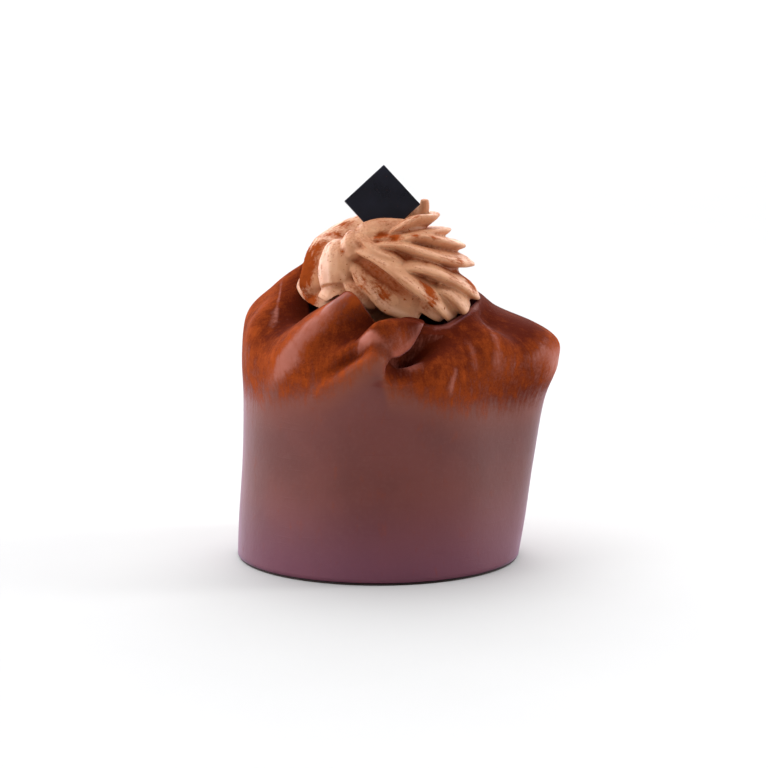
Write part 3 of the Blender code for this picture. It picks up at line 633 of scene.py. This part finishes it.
def plaque_block(name, side, thickness):
    """A square plate that stands on its corner, leaning back."""
    mesh = bmesh.new()
    bmesh.ops.create_cube(mesh, size=1.0)
    bmesh.ops.scale(mesh, vec=Vector((side, thickness, side)) * MM, verts=mesh.verts)
    lean = Matrix.Rotation(np.radians(-PLAQUE_LEAN), 4, "X")
    turn = Matrix.Rotation(np.radians(45.0 + PLAQUE_ROLL), 4, "Y")
    place = Matrix.Translation(Vector(PLAQUE_CENTRE) * MM)
    bmesh.ops.transform(mesh, matrix=place @ lean @ turn, verts=mesh.verts)
    return taken_from(mesh, name)


# ---- the scene's own sizes ----

FINE_COLUMNS = 420
FINE_ROWS = 190
FINE_DENSITY = 0.9
FINE_VOXEL = 0.335
ROOM_VOXEL = 0.5
PLAQUE_EDGE = 0.25

# The camera stands where the photograph was taken from. It looks a little above the foot.
CAMERA_AT = (0.0, -565.13, 130.47)
CAMERA_TARGET = (1.38, 0.0, 43.78)
FOCAL_PIXELS = 2251.1
IMAGE_PIXELS = 768
SENSOR_WIDTH = 36.0

# The studio: how bright the sky is towards each side, an even light from straight above, and
# softboxes with their place and size in metres and their power.
SKY = (
    ((0.0, 1.0, 0.0), 4.7),
    ((-1.0, 0.0, 0.0), 2.5),
    ((1.0, 0.0, 0.0), 0.45),
    ((0.0, -1.0, 0.0), 0.1),
)
SKY_TINT = (0.98, 0.985, 1.0)
SUN_POWER = 1.6
SUN_ANGLE = 70.0
FLOOR_HALF = 12.0
FLOOR_GREY = 0.60
SOFTBOXES = (
    ("key_left", (-0.50, -0.28, 0.50), (0.25, 0.25), 0.5),
    ("strip_right", (0.60, 0.05, 0.30), (0.15, 0.6), 1.9),
)
SOFTBOX_AIM = (0.0, 0.0, 0.05)


def fine_rows():
    """Levels of the fine sheet: closer together where it folds."""
    fine = np.linspace(0.0, 1.0, 2001)
    density = 0.45 + 1.0 * ease((fine - 0.38) / 0.16)
    return spaced(fine, density, np.linspace(0.0, 1.0, FINE_ROWS))


def wobble(points, scale, amount, seed):
    """A smooth unevenness of a surface, the same each time: a few crossed waves."""
    draw = np.random.default_rng(seed)
    total = np.zeros(len(points))
    for _ in range(9):
        way = unit(draw.normal(size=3))
        total += np.sin(points @ way * (2 * np.pi / (scale * draw.uniform(0.6, 1.7)))
                        + draw.uniform(0, 2 * np.pi))
    return amount * total / 3


def at_vertices(data, name):
    """A vector for each vertex: its co or its normal."""
    values = np.empty(len(data.vertices) * 3)
    data.vertices.foreach_get(name, values)
    return values.reshape(-1, 3)


def store(data, name, values):
    """Keeps a number or a vector for each vertex, for the material to read."""
    values = np.asarray(values, float)
    kind = "FLOAT" if values.ndim == 1 else "FLOAT_VECTOR"
    layer = data.attributes.new(name, kind, "POINT")
    layer.data.foreach_set("value" if values.ndim == 1 else "vector", values.ravel())


def finish_piece(piece, node):
    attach(piece, "root")
    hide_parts(node)


# ---- materials ----


class Nodes:
    """A short way to build the nodes of a material or a world."""

    def __init__(self, owner, shader="Principled BSDF"):
        owner.use_nodes = True
        self.owner = owner
        self.tree = owner.node_tree
        self.shader = self.tree.nodes[shader]

    def link(self, value, socket):
        if isinstance(value, bpy.types.NodeSocket):
            self.tree.links.new(value, socket)
        else:
            socket.default_value = value

    def add(self, kind, output, settings=(), **inputs):
        node = self.tree.nodes.new(kind)
        for key, value in dict(settings).items():
            setattr(node, key, value)
        for key, value in inputs.items():
            key = int(key[1:]) if key[1:].isdigit() else key.replace("_", " ")
            self.link(value, node.inputs[key])
        return node.outputs[output]

    def attribute(self, name, output="Fac"):
        return self.add("ShaderNodeAttribute", output, {"attribute_name": name})

    def place(self):
        return self.add("ShaderNodeTexCoord", "Object")

    def scaled(self, vector, x, y, z):
        return self.add("ShaderNodeVectorMath", "Vector", {"operation": "MULTIPLY"},
                        i0=vector, i1=(x, y, z))

    def noise(self, vector, scale, detail=3.0, roughness=0.5, distortion=0.0):
        return self.add("ShaderNodeTexNoise", 0, Vector=vector, Scale=scale, Detail=detail,
                        Roughness=roughness, Distortion=distortion)

    def math(self, operation, a, b=0.0):
        return self.add("ShaderNodeMath", 0, {"operation": operation}, i0=a, i1=b)

    def plus(self, a, b):
        return self.math("ADD", a, b)

    def times(self, a, b):
        return self.math("MULTIPLY", a, b)

    def between(self, value, low, high):
        """0 below low and 1 above high, with soft ends."""
        return self.add("ShaderNodeMapRange", 0, {"interpolation_type": "SMOOTHSTEP"},
                        i0=value, i1=low, i2=high)

    def mix(self, factor, a, b):
        a, b = ((*c, 1.0) if isinstance(c, tuple) else c for c in (a, b))
        return self.add("ShaderNodeMix", 2, {"data_type": "RGBA"}, i0=factor, i6=a, i7=b)

    def mix_number(self, factor, a, b):
        return self.add("ShaderNodeMix", 0, {"data_type": "FLOAT"}, i0=factor, i2=a, i3=b)

    def bump(self, height, distance, strength, *under):
        """Relief of this depth in millimetres, on top of the relief under it."""
        inputs = {"Height": height, "Distance": distance * MM, "Strength": strength}
        return self.add("ShaderNodeBump", 0, **inputs, **dict(zip(["Normal"], under)))

    def set(self, **values):
        for name, value in values.items():
            self.link(value, self.shader.inputs[name.replace("_", " ")])


def linear(red, green, blue):
    """A colour as it shows on a screen, 0 to 255, as the renderer's own numbers."""
    share = np.array([red, green, blue]) / 255
    return tuple(float(s) for s in np.where(share < 0.04045, share / 12.92,
                                            ((share + 0.055) / 1.055) ** 2.4))


COCOA_DARK = linear(86, 26, 9)
COCOA_LIGHT = linear(166, 72, 26)


def cocoa_colour(nodes, place, patches, ridge_light_tone=0.5):
    """Cocoa powder: lighter in patches; the tone paints it lighter on ridges and darker in valleys,
    as light and shade.
    """
    height = nodes.times(nodes.math("SUBTRACT", ridge_light_tone, 0.5), 1.6)
    grain = nodes.plus(nodes.noise(place, 2600.0, 2.0, 0.7), height)
    shade = nodes.plus(nodes.times(patches, 0.85), nodes.times(grain, 0.3))
    return nodes.mix(nodes.between(shade, 0.30, 0.86), COCOA_DARK, COCOA_LIGHT)


def chocolate_material():
    """Satin milk chocolate under a dusting of cocoa powder."""
    nodes = Nodes(bpy.data.materials.new("milk_chocolate_satin"))
    place = nodes.place()
    flow = nodes.attribute("flow", "Vector")
    cloud = nodes.noise(place, 42.0, 3.0, 0.5)
    fine = nodes.noise(place, 900.0, 3.0, 0.6)
    bare = nodes.mix(nodes.between(cloud, 0.35, 0.65), linear(103, 47, 41), linear(115, 55, 48))
    bare = nodes.mix(nodes.times(nodes.between(fine, 0.45, 0.8), 0.25), bare, linear(122, 66, 60))
    # the lower sheet is tinted lavender: a painted reflection of the floor
    bare = nodes.mix(nodes.times(nodes.attribute("painted_floor_reflection"), 0.45), bare, linear(122, 70, 104))
    warm_tint_and_painted_light = nodes.attribute("warm_tint_and_painted_light")
    # the bare top above the powder turns lighter and warmer: partly the chocolate's own tint, partly
    # painted light on the top that faces the lamps
    bare = nodes.mix(warm_tint_and_painted_light, bare, linear(178, 98, 78))
    bare = nodes.mix(nodes.times(nodes.attribute("film"), 0.85), bare, linear(140, 68, 40))
    # the powder lies in streaks that run up the folds
    streak = nodes.noise(nodes.scaled(flow, 8.0, 8.0, 3.6), 3.0, 3.0, 0.5, 0.9)
    streak_fine = nodes.noise(nodes.scaled(flow, 20.0, 20.0, 9.0), 3.0, 2.0, 0.5, 0.6)
    drift = nodes.noise(place, 330.0, 4.0, 0.6)
    speck = nodes.noise(place, 1500.0, 2.0, 0.6)
    level = nodes.math("SUBTRACT", nodes.attribute("cocoa"), 0.9)
    for rough, share in ((streak, 0.7), (streak_fine, 0.14), (speck, 0.3), (drift, 0.66)):
        level = nodes.plus(level, nodes.times(rough, share))
    powder = nodes.between(level, 0.04, 0.9)
    bareness = nodes.math("SUBTRACT", 1.0, powder)
    patches = nodes.mix_number(0.6, streak, drift)
    # the tone paints light on the cocoa's ridges and shade in its valleys
    cocoa = cocoa_colour(nodes, place, patches, nodes.attribute("ridge_light_tone"))
    satin = nodes.plus(nodes.times(cloud, 0.14), 0.30)
    nodes.set(
        Base_Color=nodes.mix(powder, bare, cocoa), Roughness=nodes.mix_number(powder, satin, 0.9),
        Specular_IOR_Level=nodes.mix_number(powder, 0.38, 0.05),
        Sheen_Weight=nodes.times(bareness, nodes.mix_number(warm_tint_and_painted_light, 0.3, 0.1)),
        Sheen_Roughness=0.32, Sheen_Tint=(*linear(222, 188, 240), 1.0),
        Subsurface_Weight=0.05, Subsurface_Radius=(0.8, 0.3, 0.2), Subsurface_Scale=MM,
    )
    skin = nodes.bump(nodes.noise(place, 150.0, 3.0, 0.5), 0.22, 0.6)
    scratch = nodes.noise(nodes.scaled(place, 90.0, 90.0, 1500.0), 1.0, 2.0, 0.6)
    skin = nodes.bump(nodes.between(scratch, 0.6, 0.7), 0.02, 0.6, skin)
    skin = nodes.bump(nodes.noise(place, 1300.0, 3.0, 0.6), 0.03, 0.7, skin)
    grain = nodes.times(nodes.noise(place, 3400.0, 2.0, 0.7), powder)
    nodes.set(Normal=nodes.bump(grain, 0.12, 0.8, skin))
    return nodes.owner


def cream_material():
    """Soft piped cream with the tip's fine lines along it, and cocoa on it."""
    nodes = Nodes(bpy.data.materials.new("mocha_cream_piped"))
    place = nodes.place()
    strand = nodes.attribute("strand", "Vector")
    groove_cocoa_and_shade = nodes.attribute("groove_cocoa_and_shade")
    whole = nodes.attribute("whole")
    lines = nodes.noise(nodes.scaled(strand, 0.16, 2.2, 1.0), 1.0, 3.0, 0.55, 0.15)
    lines = nodes.mix_number(whole, 0.5, lines)
    cloud = nodes.between(nodes.noise(place, 190.0, 3.0, 0.55), 0.3, 0.7)
    base = nodes.mix(cloud, linear(196, 134, 96), linear(210, 152, 112))
    # a paler colour where the cream faces the key light at the left: painted light
    painted_left_light = nodes.mix(cloud, linear(234, 178, 150), linear(248, 203, 180))
    base = nodes.mix(nodes.attribute("painted_left_light"), base, painted_left_light)
    base = nodes.mix(nodes.times(nodes.between(lines, 0.45, 0.75), 0.15), base, linear(190, 120, 82))
    # darker and browner in the grooves: partly cocoa that collects there, partly painted shade
    base = nodes.mix(nodes.times(groove_cocoa_and_shade, 0.85), base, linear(164, 84, 38))
    # a lighter line along each blade's crest: a painted highlight
    base = nodes.mix(nodes.times(nodes.attribute("lip"), 0.45), base, linear(240, 190, 158))
    # near-black deep inside the outline and low at the foot: painted shade of the hollow under the
    # blades
    depth = nodes.attribute("depth")
    base = nodes.mix(depth, base, linear(14, 6, 4))
    speck = nodes.noise(place, 1500.0, 2.0, 0.6)
    smear = nodes.noise(nodes.scaled(strand, 0.3, 1.3, 1.0), 1.0, 3.0, 0.6)
    smear = nodes.mix_number(whole, 0.5, smear)
    level = nodes.math("SUBTRACT", nodes.plus(nodes.attribute("cocoa"), smear), 0.75)
    level = nodes.plus(level, nodes.times(speck, 0.5))
    powder = nodes.between(level, 0.26, 0.74)
    dots = nodes.between(nodes.noise(place, 1250.0, 1.0, 0.5), 0.69, 0.76)
    powder = nodes.math("MAXIMUM", powder, nodes.times(dots, 0.85))
    patches = nodes.noise(place, 300.0, 3.0, 0.6)
    dust = nodes.mix(0.4, cocoa_colour(nodes, place, patches), linear(176, 82, 30))
    # the powder and the painted shade of the hollow shine less
    dull = nodes.math("MAXIMUM", powder, depth)
    nodes.set(
        Base_Color=nodes.mix(powder, base, dust), Roughness=nodes.mix_number(powder, 0.5, 0.95),
        Specular_IOR_Level=nodes.mix_number(dull, 0.35, 0.05),
        Subsurface_Weight=0.12, Subsurface_Radius=(1.0, 0.45, 0.25), Subsurface_Scale=1.2 * MM,
    )
    skin = nodes.bump(nodes.noise(place, 340.0, 3.0, 0.55, 0.6), 0.5, 0.5)
    skin = nodes.bump(lines, 0.07, 0.7, skin)
    skin = nodes.bump(nodes.noise(place, 1500.0, 3.0, 0.6), 0.05, 0.7, skin)
    nodes.set(Normal=nodes.bump(nodes.times(speck, powder), 0.12, 0.8, skin))
    return nodes.owner


def plaque_material():
    """A blue-black glaze with fine wear, and a painted blue highlight low on it."""
    nodes = Nodes(bpy.data.materials.new("plaque_glaze_satin"))
    place = nodes.place()
    cloud = nodes.noise(place, 120.0, 3.0, 0.55)
    dust = nodes.between(nodes.noise(place, 2200.0, 2.0, 0.7), 0.68, 0.8)
    base = nodes.mix(nodes.between(cloud, 0.35, 0.65), linear(20, 20, 29), linear(29, 29, 42))
    # bluer towards the lower corner: a painted highlight
    height = nodes.add("ShaderNodeSeparateXYZ", 2, i0=place)
    low = nodes.between(height, 0.088, 0.080)
    base = nodes.mix(nodes.times(low, 0.6), base, linear(24, 34, 62))
    nodes.set(Base_Color=nodes.mix(nodes.times(dust, 0.35), base, COCOA_LIGHT))
    nodes.set(Roughness=nodes.plus(0.22, nodes.times(cloud, 0.14)))
    nodes.set(Normal=nodes.bump(nodes.noise(place, 480.0, 3.0, 0.6), 0.02, 0.5))
    return nodes.owner


def board_material():
    """The dark rim under the sheet."""
    nodes = Nodes(bpy.data.materials.new("dark_chocolate_satin"))
    place = nodes.place()
    cloud = nodes.noise(place, 300.0, 3.0, 0.6)
    nodes.set(Base_Color=nodes.mix(cloud, linear(34, 20, 20), linear(56, 34, 32)))
    nodes.set(Roughness=nodes.plus(0.4, nodes.times(cloud, 0.2)))
    nodes.set(Normal=nodes.bump(nodes.noise(place, 1400.0, 3.0, 0.6), 0.06, 0.8))
    return nodes.owner


def floor_material():
    nodes = Nodes(bpy.data.materials.new("floor_paper"))
    place = nodes.place()
    cloud = nodes.noise(place, 30.0, 3.0, 0.5)
    light, dark = (FLOOR_GREY + 0.01,) * 3, (FLOOR_GREY - 0.01,) * 3
    nodes.set(Base_Color=nodes.mix(cloud, light, dark), Roughness=0.9)
    nodes.set(Normal=nodes.bump(nodes.noise(place, 900.0, 2.0, 0.5), 0.02, 0.3))
    return nodes.owner


# ---- the fine sheet and its cocoa ----

# Where the powder's lower boundary lies, by angle. It follows the crest up to the pinch.
POWDER_FROM = (
    (0, 0.498), (40, 0.50), (90, 0.52), (140, 0.50), (180, 0.49), (195, 0.485), (214, 0.490),
    (226, 0.507), (236, 0.522), (243, 0.535), (248, 0.555), (255, 0.60), (262, 0.65),
    (266, 0.675), (270.5, 0.685), (273, 0.60), (278, 0.57), (284, 0.545), (290, 0.52),
    (304, 0.49), (320, 0.477), (336, 0.475), (352, 0.49), (360, 0.498),
)
# Bands and patches that the powder leaves bare: where they run, half their width, in degrees
# and in v, and how bare they are.
BareBand = namedtuple("BareBand", "v angle half strength")
BARE_BANDS = (
    BareBand((0.485, 0.55, 0.625, 0.688, 0.755, 0.82, 0.91, 1.0),
             (218, 224, 230, 234, 238, 240, 242, 244),
             4.2, (0.15, 0.35, 0.7, 0.75, 0.8, 0.8, 0.8, 0.7)),
    BareBand((0.74, 0.78, 0.823, 0.855, 0.88, 0.92), (209, 205, 200, 192, 183, 178),
             3.0, (0.0, 0.4, 0.55, 0.55, 0.4, 0.0)),
    BareBand((0.52, 0.56, 0.62, 0.66), (299, 300, 302, 303), 1.3, (0.0, 0.4, 0.3, 0.0)),
    BareBand((0.60, 0.66, 0.74, 0.80), (313, 313, 313, 312), 1.6, (0.0, 0.35, 0.35, 0.0)),
    BareBand((0.58, 0.66, 0.76, 0.84), (322, 323, 326, 330), 1.8, (0.0, 0.4, 0.35, 0.0)),
)
BarePatch = namedtuple("BarePatch", "angle v half_angle half_v strength")
BARE_PATCHES = (
    BarePatch(264.5, 0.752, 3.2, 0.021, 1.20),
    BarePatch(261.5, 0.722, 1.4, 0.012, 0.40),
    BarePatch(285, 0.690, 4.5, 0.045, 1.00),
    BarePatch(318, 1.000, 22.0, 0.070, 1.10),
    BarePatch(343, 0.640, 6.0, 0.04, 0.38),
    BarePatch(350, 0.575, 6.0, 0.055, 0.50),
)
# The pinch's rolled edge is bare this far to both sides.
BARE_EDGE = 0.6
# Where the thin film of cocoa below the boundary is strongest, and where the ear is darker.
FILM_AT, FILM_SPREAD = 264.0, 14.0
EAR_AT, EAR_SPREAD = 350.0, 22.0
# The cocoa that fell inside the hollow.
INSIDE_COCOA = 0.25


def powder_on_sheet(angle, v, edge, normals):
    """How much cocoa lies there: none well below the edge, less where the sheet is steep."""
    amount = ease((v - edge + 0.09) / 0.18)
    steep = 1 - ease((normals[:, 2] + 0.1) / 0.5)
    amount = amount - 0.25 * steep * ease((v - edge) / 0.12)
    for band in BARE_BANDS:
        near = beside(angle, curve(v, band.v, band.angle), band.half)
        amount = amount - curve(v, band.v, band.strength) * near
    for patch in BARE_PATCHES:
        across = turn_between(angle, patch.angle) / patch.half_angle
        along = (v - patch.v) / patch.half_v
        amount = amount - patch.strength * np.exp(-(across**2 + along**2))
    distance, _, overlap, _ = beside_pinch(angle, v)
    # the roll of the upper layer, where the overlap is deep
    distance = distance + 0.3 * PINCH_HALF_WIDTH
    amount = amount - 0.9 * np.exp(-((distance / BARE_EDGE) ** 2)) * ease((overlap - 4.0) / 3)
    return np.clip(amount, 0.0, 1.2)


def fine_wrap():
    """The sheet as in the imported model, on a fine mesh."""
    columns = column_angles(FINE_COLUMNS, FINE_DENSITY)
    rows = fine_rows()
    outer = [folded_sheet(column_drift(columns, v), np.full(FINE_COLUMNS, v)) for v in rows]
    lower, upper = foot_rings(columns, outer[0]), inner_rings(outer[-1], columns)
    data = mesh_from_rings(
        "wrap_skin", [*lower, *outer, *upper], (0.0, 0.0, outer[0][0][2] + RECESS_DEPTH),
        (HOLLOW_CENTRE_X, 0.0, HOLLOW_FLOOR_Z),
    )
    data.shade_smooth()
    angle = np.concatenate(
        [np.tile(columns, len(lower))] + [column_drift(columns, v) for v in rows]
        + [np.tile(columns, len(upper)), [0.0, 0.0]]
    )
    v = np.concatenate([
        np.zeros(len(lower) * FINE_COLUMNS), np.repeat(rows, FINE_COLUMNS),
        np.ones(len(upper) * FINE_COLUMNS), [0.0, 1.0],
    ])
    turn = np.radians(angle)
    store(data, "flow", xyz(np.cos(turn), np.sin(turn), v))
    inside = np.arange(len(v)) >= (len(lower) + FINE_ROWS + 1) * FINE_COLUMNS
    edge = curve(angle % 360.0, *np.transpose(POWDER_FROM))
    powder = powder_on_sheet(angle % 360.0, v, edge, at_vertices(data, "normal"))
    store(data, "cocoa", np.where(inside, INSIDE_COCOA, powder))
    # lavender towards the foot: a painted reflection of the floor
    store(data, "painted_floor_reflection", 1 - ease(v / 0.28))
    # the lighter, warmer bare top: partly its own tint, partly painted light; less of it near the
    # rim
    warm_tint_and_painted_light = ease((v - edge - 0.01) / 0.06) * (1 - 0.6 * ease((v - 0.84) / 0.08))
    store(data, "warm_tint_and_painted_light", np.where(inside, 0.0, warm_tint_and_painted_light))
    film = ease((v - edge + 0.13) / 0.12) * (1 - ease((v - edge - 0.02) / 0.06))
    film = film * (0.45 + 0.55 * beside(angle, FILM_AT, FILM_SPREAD))
    store(data, "film", np.where(inside, 0.0, film))
    # painted light and shade in the cocoa: lighter on the ridges, darker in the valleys, and darker
    # round the ear
    ridge = (fold_push(angle, v) * sheet_normal(angle, v)).sum(-1)
    ear = beside(angle, EAR_AT, EAR_SPREAD)
    store(data, "ridge_light_tone", np.clip(0.5 + ridge / 7.0 - 1.35 * ear, 0.0, 1.0))
    return data


# ---- the fine rosette and its cocoa ----


# How far apart the streaks of two blades are drawn from the same noise.
STRAND_APART = 7.3


def blade_line(blade, step=0.5):
    """The crest of a blade, evenly spaced: its points, outward ways and lengths."""
    fine = np.linspace(blade.angle[0], blade.angle[-1], 800)
    down = curve(fine, blade.angle, blade.down)
    reach = path_length(on_rosette(fine, down))
    stops = np.arange(0.0, reach[-1], step)
    angle, down = np.interp(stops, reach, fine), np.interp(stops, reach, down)
    crest = on_rosette(angle, down)
    return crest, unit(on_rosette(angle, down, 1.0) - crest), stops


def nearest(spots, points):
    """For each point, which of the spots lies nearest."""
    tree = KDTree(len(spots))
    for i, spot in enumerate(spots):
        tree.insert(Vector(spot), i)
    tree.balance()
    return np.array([tree.find(Vector(p))[1] for p in points])


def strand_of(points):
    """For each point: how far along its blade it lies, how far beside its crest, and which
    blade it is."""
    rows = []
    for number, blade in enumerate(BLADES):
        crest, outward, stops = blade_line(blade)
        across = np.cross(outward, unit(np.gradient(crest, axis=0)))
        rows.append(np.column_stack([crest, across, stops, np.full(len(stops), number)]))
    rows = np.concatenate(rows)
    rows = rows[nearest(rows[:, :3], points)]
    aside = ((points - rows[:, :3]) * rows[:, 3:6]).sum(-1)
    return xyz(rows[:, 6], aside, STRAND_APART * rows[:, 7])


def whole_strand(data, strand):
    """0 where two blades meet, rising to 1 a few edges away from there."""
    ends = np.empty(len(data.edges) * 2, int)
    data.edges.foreach_get("vertices", ends)
    a, b = ends.reshape(-1, 2).T
    meet = np.abs(strand[a, 2] - strand[b, 2]) > 1.0
    steps = np.full(len(strand), 6.0)
    steps[a[meet]] = steps[b[meet]] = 0.0
    for _ in range(6):
        near = steps.copy()
        np.minimum.at(near, a, steps[b] + 1)
        np.minimum.at(near, b, steps[a] + 1)
        steps = near
    return ease((steps - 1.0) / 5.0)


def inside_outline(points):
    """How far each point lies inside the rosette's outline."""
    angle, down = np.meshgrid(np.arange(0.0, 360.0, 2.0), np.arange(-10.0, 33.0, 0.4))
    spots = on_rosette(angle, down).reshape(-1, 3)
    outward = unit(on_rosette(angle, down, 1.0).reshape(-1, 3) - spots)
    found = nearest(spots, points)
    return -((points - spots[found]) * outward[found]).sum(-1)


# Where cocoa fell thickly on the cream: place, radius and strength. The last spot, low on the left
# under the big lobe, is partly painted shade.
CREAM_COCOA = (
    (-17.5, -8.0, 76.7, 2.6, 0.55), (-18.5, -8.8, 73.8, 2.6, 0.60), (-19.2, -9.7, 70.6, 2.6, 0.60),
    (-17.7, 0.0, 74.6, 5.5, 0.50), (-18.0, -10.1, 65.9, 2.4, 0.45), (1.3, -21.8, 69.0, 1.6, 0.50),
    (-0.1, -20.2, 71.5, 1.5, 0.18), (12.8, -20.5, 66.5, 1.8, 0.40), (12.5, -19.7, 70.0, 1.6, 0.60),
    (10.6, -19.8, 71.7, 1.4, 0.40), (14.5, -19.3, 67.5, 1.0, 0.20), (0.6, -12.9, 82.3, 1.6, 0.60),
    (4.0, -14.8, 82.5, 1.4, 0.45), (9.2, -14.3, 82.7, 0.9, 0.50), (13.4, -13.2, 82.1, 0.9, 0.35),
    (20.6, -10.6, 75.9, 1.4, 0.30), (-13.3, -5.6, 80.9, 1.6, 0.20), (-15.0, -7.0, 79.6, 1.4, 0.28),
    (-8.5, 7.0, 84.3, 2.2, 0.35), (-9.7, 1.0, 82.9, 1.6, 0.35), (-8.7, -15.1, 79.1, 0.8, 0.40),
    (23.0, -7.0, 70.3, 3.2, 0.70), (11.4, -16.9, 76.5, 1.2, 0.25), (-16.2, -11.2, 66.4, 2.0, 0.40),
)


def fine_cream(piece, wrap_data, slot_data):
    """The rosette on a fine mesh, with its strands' numbers and its cocoa."""
    piece.data = fused(piece, FINE_VOXEL)
    room = bpy.data.objects.new("cream_room", wrap_data.copy())
    slot = bpy.data.objects.new("slot_room", slot_data)
    for helper in (room, slot):
        bpy.context.scene.collection.objects.link(helper)
    room.data = swollen(room, ROOM_VOXEL, CREAM_GAP)
    for helper in (room, slot):
        modify(piece, "BOOLEAN", operation="DIFFERENCE", object=helper, solver="MANIFOLD")
    piece.data = applied(piece)
    largest_only(piece.data)
    for helper in (room, slot):
        bpy.data.objects.remove(helper, do_unlink=True)
    data = piece.data
    points, normals = at_vertices(data, "co") / MM, at_vertices(data, "normal")
    strand = strand_of(points)
    store(data, "strand", strand)
    whole = whole_strand(data, strand)
    store(data, "whole", whole)
    inside = inside_outline(points)
    # how deep in a groove: it darkens the colour there as painted shade, and adds some cocoa
    groove_cocoa_and_shade = ease((inside - 1.4) / 2.2)
    store(data, "groove_cocoa_and_shade", groove_cocoa_and_shade)
    # deep inside the outline, and low down at the foot: where the painted shade of the hollow goes
    low = ease((68.5 - points[:, 2]) / 3)
    hollow_shade = np.maximum(ease((inside - 3.8) / 2.6), ease((inside - 2.2) / 1.4) * low)
    store(data, "depth", hollow_shade)
    # along each crest, near the outline: where the painted highlight goes
    lip = np.exp(-(((strand[:, 1] - 0.6) / 0.6) ** 2)) * (1 - ease((inside - 0.3) / 0.8))
    store(data, "lip", lip * whole)
    # paler where the cream faces left on its left side, more so higher up: painted light
    painted_left_light = ease((-0.1 - normals[:, 0]) / 0.7) * ease((-6 - points[:, 0]) / 6)
    store(data, "painted_left_light", painted_left_light * (0.25 + 0.75 * ease((points[:, 2] - 67.5) / 5)))
    # a little cocoa everywhere, more on what faces up and in the grooves
    powder = 0.22 + 0.16 * normals[:, 2] + 0.16 * wobble(points, 9.0, 0.5, 3) + 0.14 * groove_cocoa_and_shade
    for *at, radius, strength in CREAM_COCOA:
        off = ((points - at) ** 2).sum(-1) / radius**2
        powder = powder + strength * np.exp(-off)
    store(data, "cocoa", np.clip(powder, 0.0, 1.0))
    data.shade_smooth()


# ---- the stage ----


def aimed(data, at, target):
    """A camera or a light at a place in metres, turned towards its target."""
    holder = bpy.data.objects.new(data.name, data)
    holder.location = at
    ahead = Vector(target) - Vector(at)
    holder.rotation_euler = ahead.to_track_quat("-Z", "Y").to_euler()
    bpy.context.scene.collection.objects.link(holder)
    return holder


def add_camera():
    camera = bpy.data.cameras.new("camera")
    camera.sensor_width = SENSOR_WIDTH
    camera.lens = SENSOR_WIDTH * FOCAL_PIXELS / IMAGE_PIXELS
    camera.clip_start = 0.01
    target = Vector(CAMERA_TARGET) * MM
    bpy.context.scene.camera = aimed(camera, Vector(CAMERA_AT) * MM, target)


def add_softbox(name, at, size, power):
    light = bpy.data.lights.new(name, "AREA")
    light.shape = "RECTANGLE"
    light.size, light.size_y = size
    light.energy = power
    aimed(light, at, SOFTBOX_AIM)


def add_sky():
    """A white studio: brightest behind the pastry, dim overhead and in front."""
    world = bpy.data.worlds.new("studio")
    bpy.context.scene.world = world
    nodes = Nodes(world, "Background")
    place = nodes.add("ShaderNodeTexCoord", "Generated")
    total = 0.0
    for way, strength in SKY:
        toward = nodes.add("ShaderNodeVectorMath", "Value", {"operation": "DOT_PRODUCT"},
                           i0=place, i1=way)
        glow = nodes.math("POWER", nodes.math("MAXIMUM", toward), 2.0)
        total = nodes.plus(nodes.times(glow, strength), total)
    nodes.set(Strength=total, Color=(*SKY_TINT, 1.0))


def add_stage():
    mesh = bmesh.new()
    bmesh.ops.create_grid(mesh, x_segments=8, y_segments=8, size=FLOOR_HALF)
    floor = add_object("floor", taken_from(mesh, "floor"), floor_material())
    add_sky()
    sun = bpy.data.lights.new("even_top", "SUN")
    sun.energy = SUN_POWER
    sun.angle = np.radians(SUN_ANGLE)
    aimed(sun, (0.0, 0.0, 1.0), (0.0, 0.0, 0.0))
    for box in SOFTBOXES:
        add_softbox(*box)
    bpy.context.scene.view_settings.view_transform = "Standard"


def main():
    add_camera()
    wrap = add_object("wrap_skin", fine_wrap(), chocolate_material())
    finish_piece(wrap, "chocolate_wrap")

    cream = add_object("cream_swirl", rosette_mesh(), cream_material())
    material = cream.data.materials[0]
    slot_data = plaque_block("slot_room", PLAQUE_SIDE + 2 * GAP, PLAQUE_THICKNESS + 2 * GAP)
    fine_cream(cream, wrap.data, slot_data)
    cream.data.materials.clear()
    cream.data.materials.append(material)
    finish_piece(cream, "cream_rosette")

    card = plaque_block("plaque_card", PLAQUE_SIDE, PLAQUE_THICKNESS)
    plaque = add_object("plaque_card", card, plaque_material())
    modify(plaque, "BEVEL", width=PLAQUE_EDGE * MM, segments=3)
    finish_piece(plaque, "plaque")

    base = build_base(board_material())
    base.name = "foot_board"
    finish_piece(base, "dark_base")
    add_stage()


main()
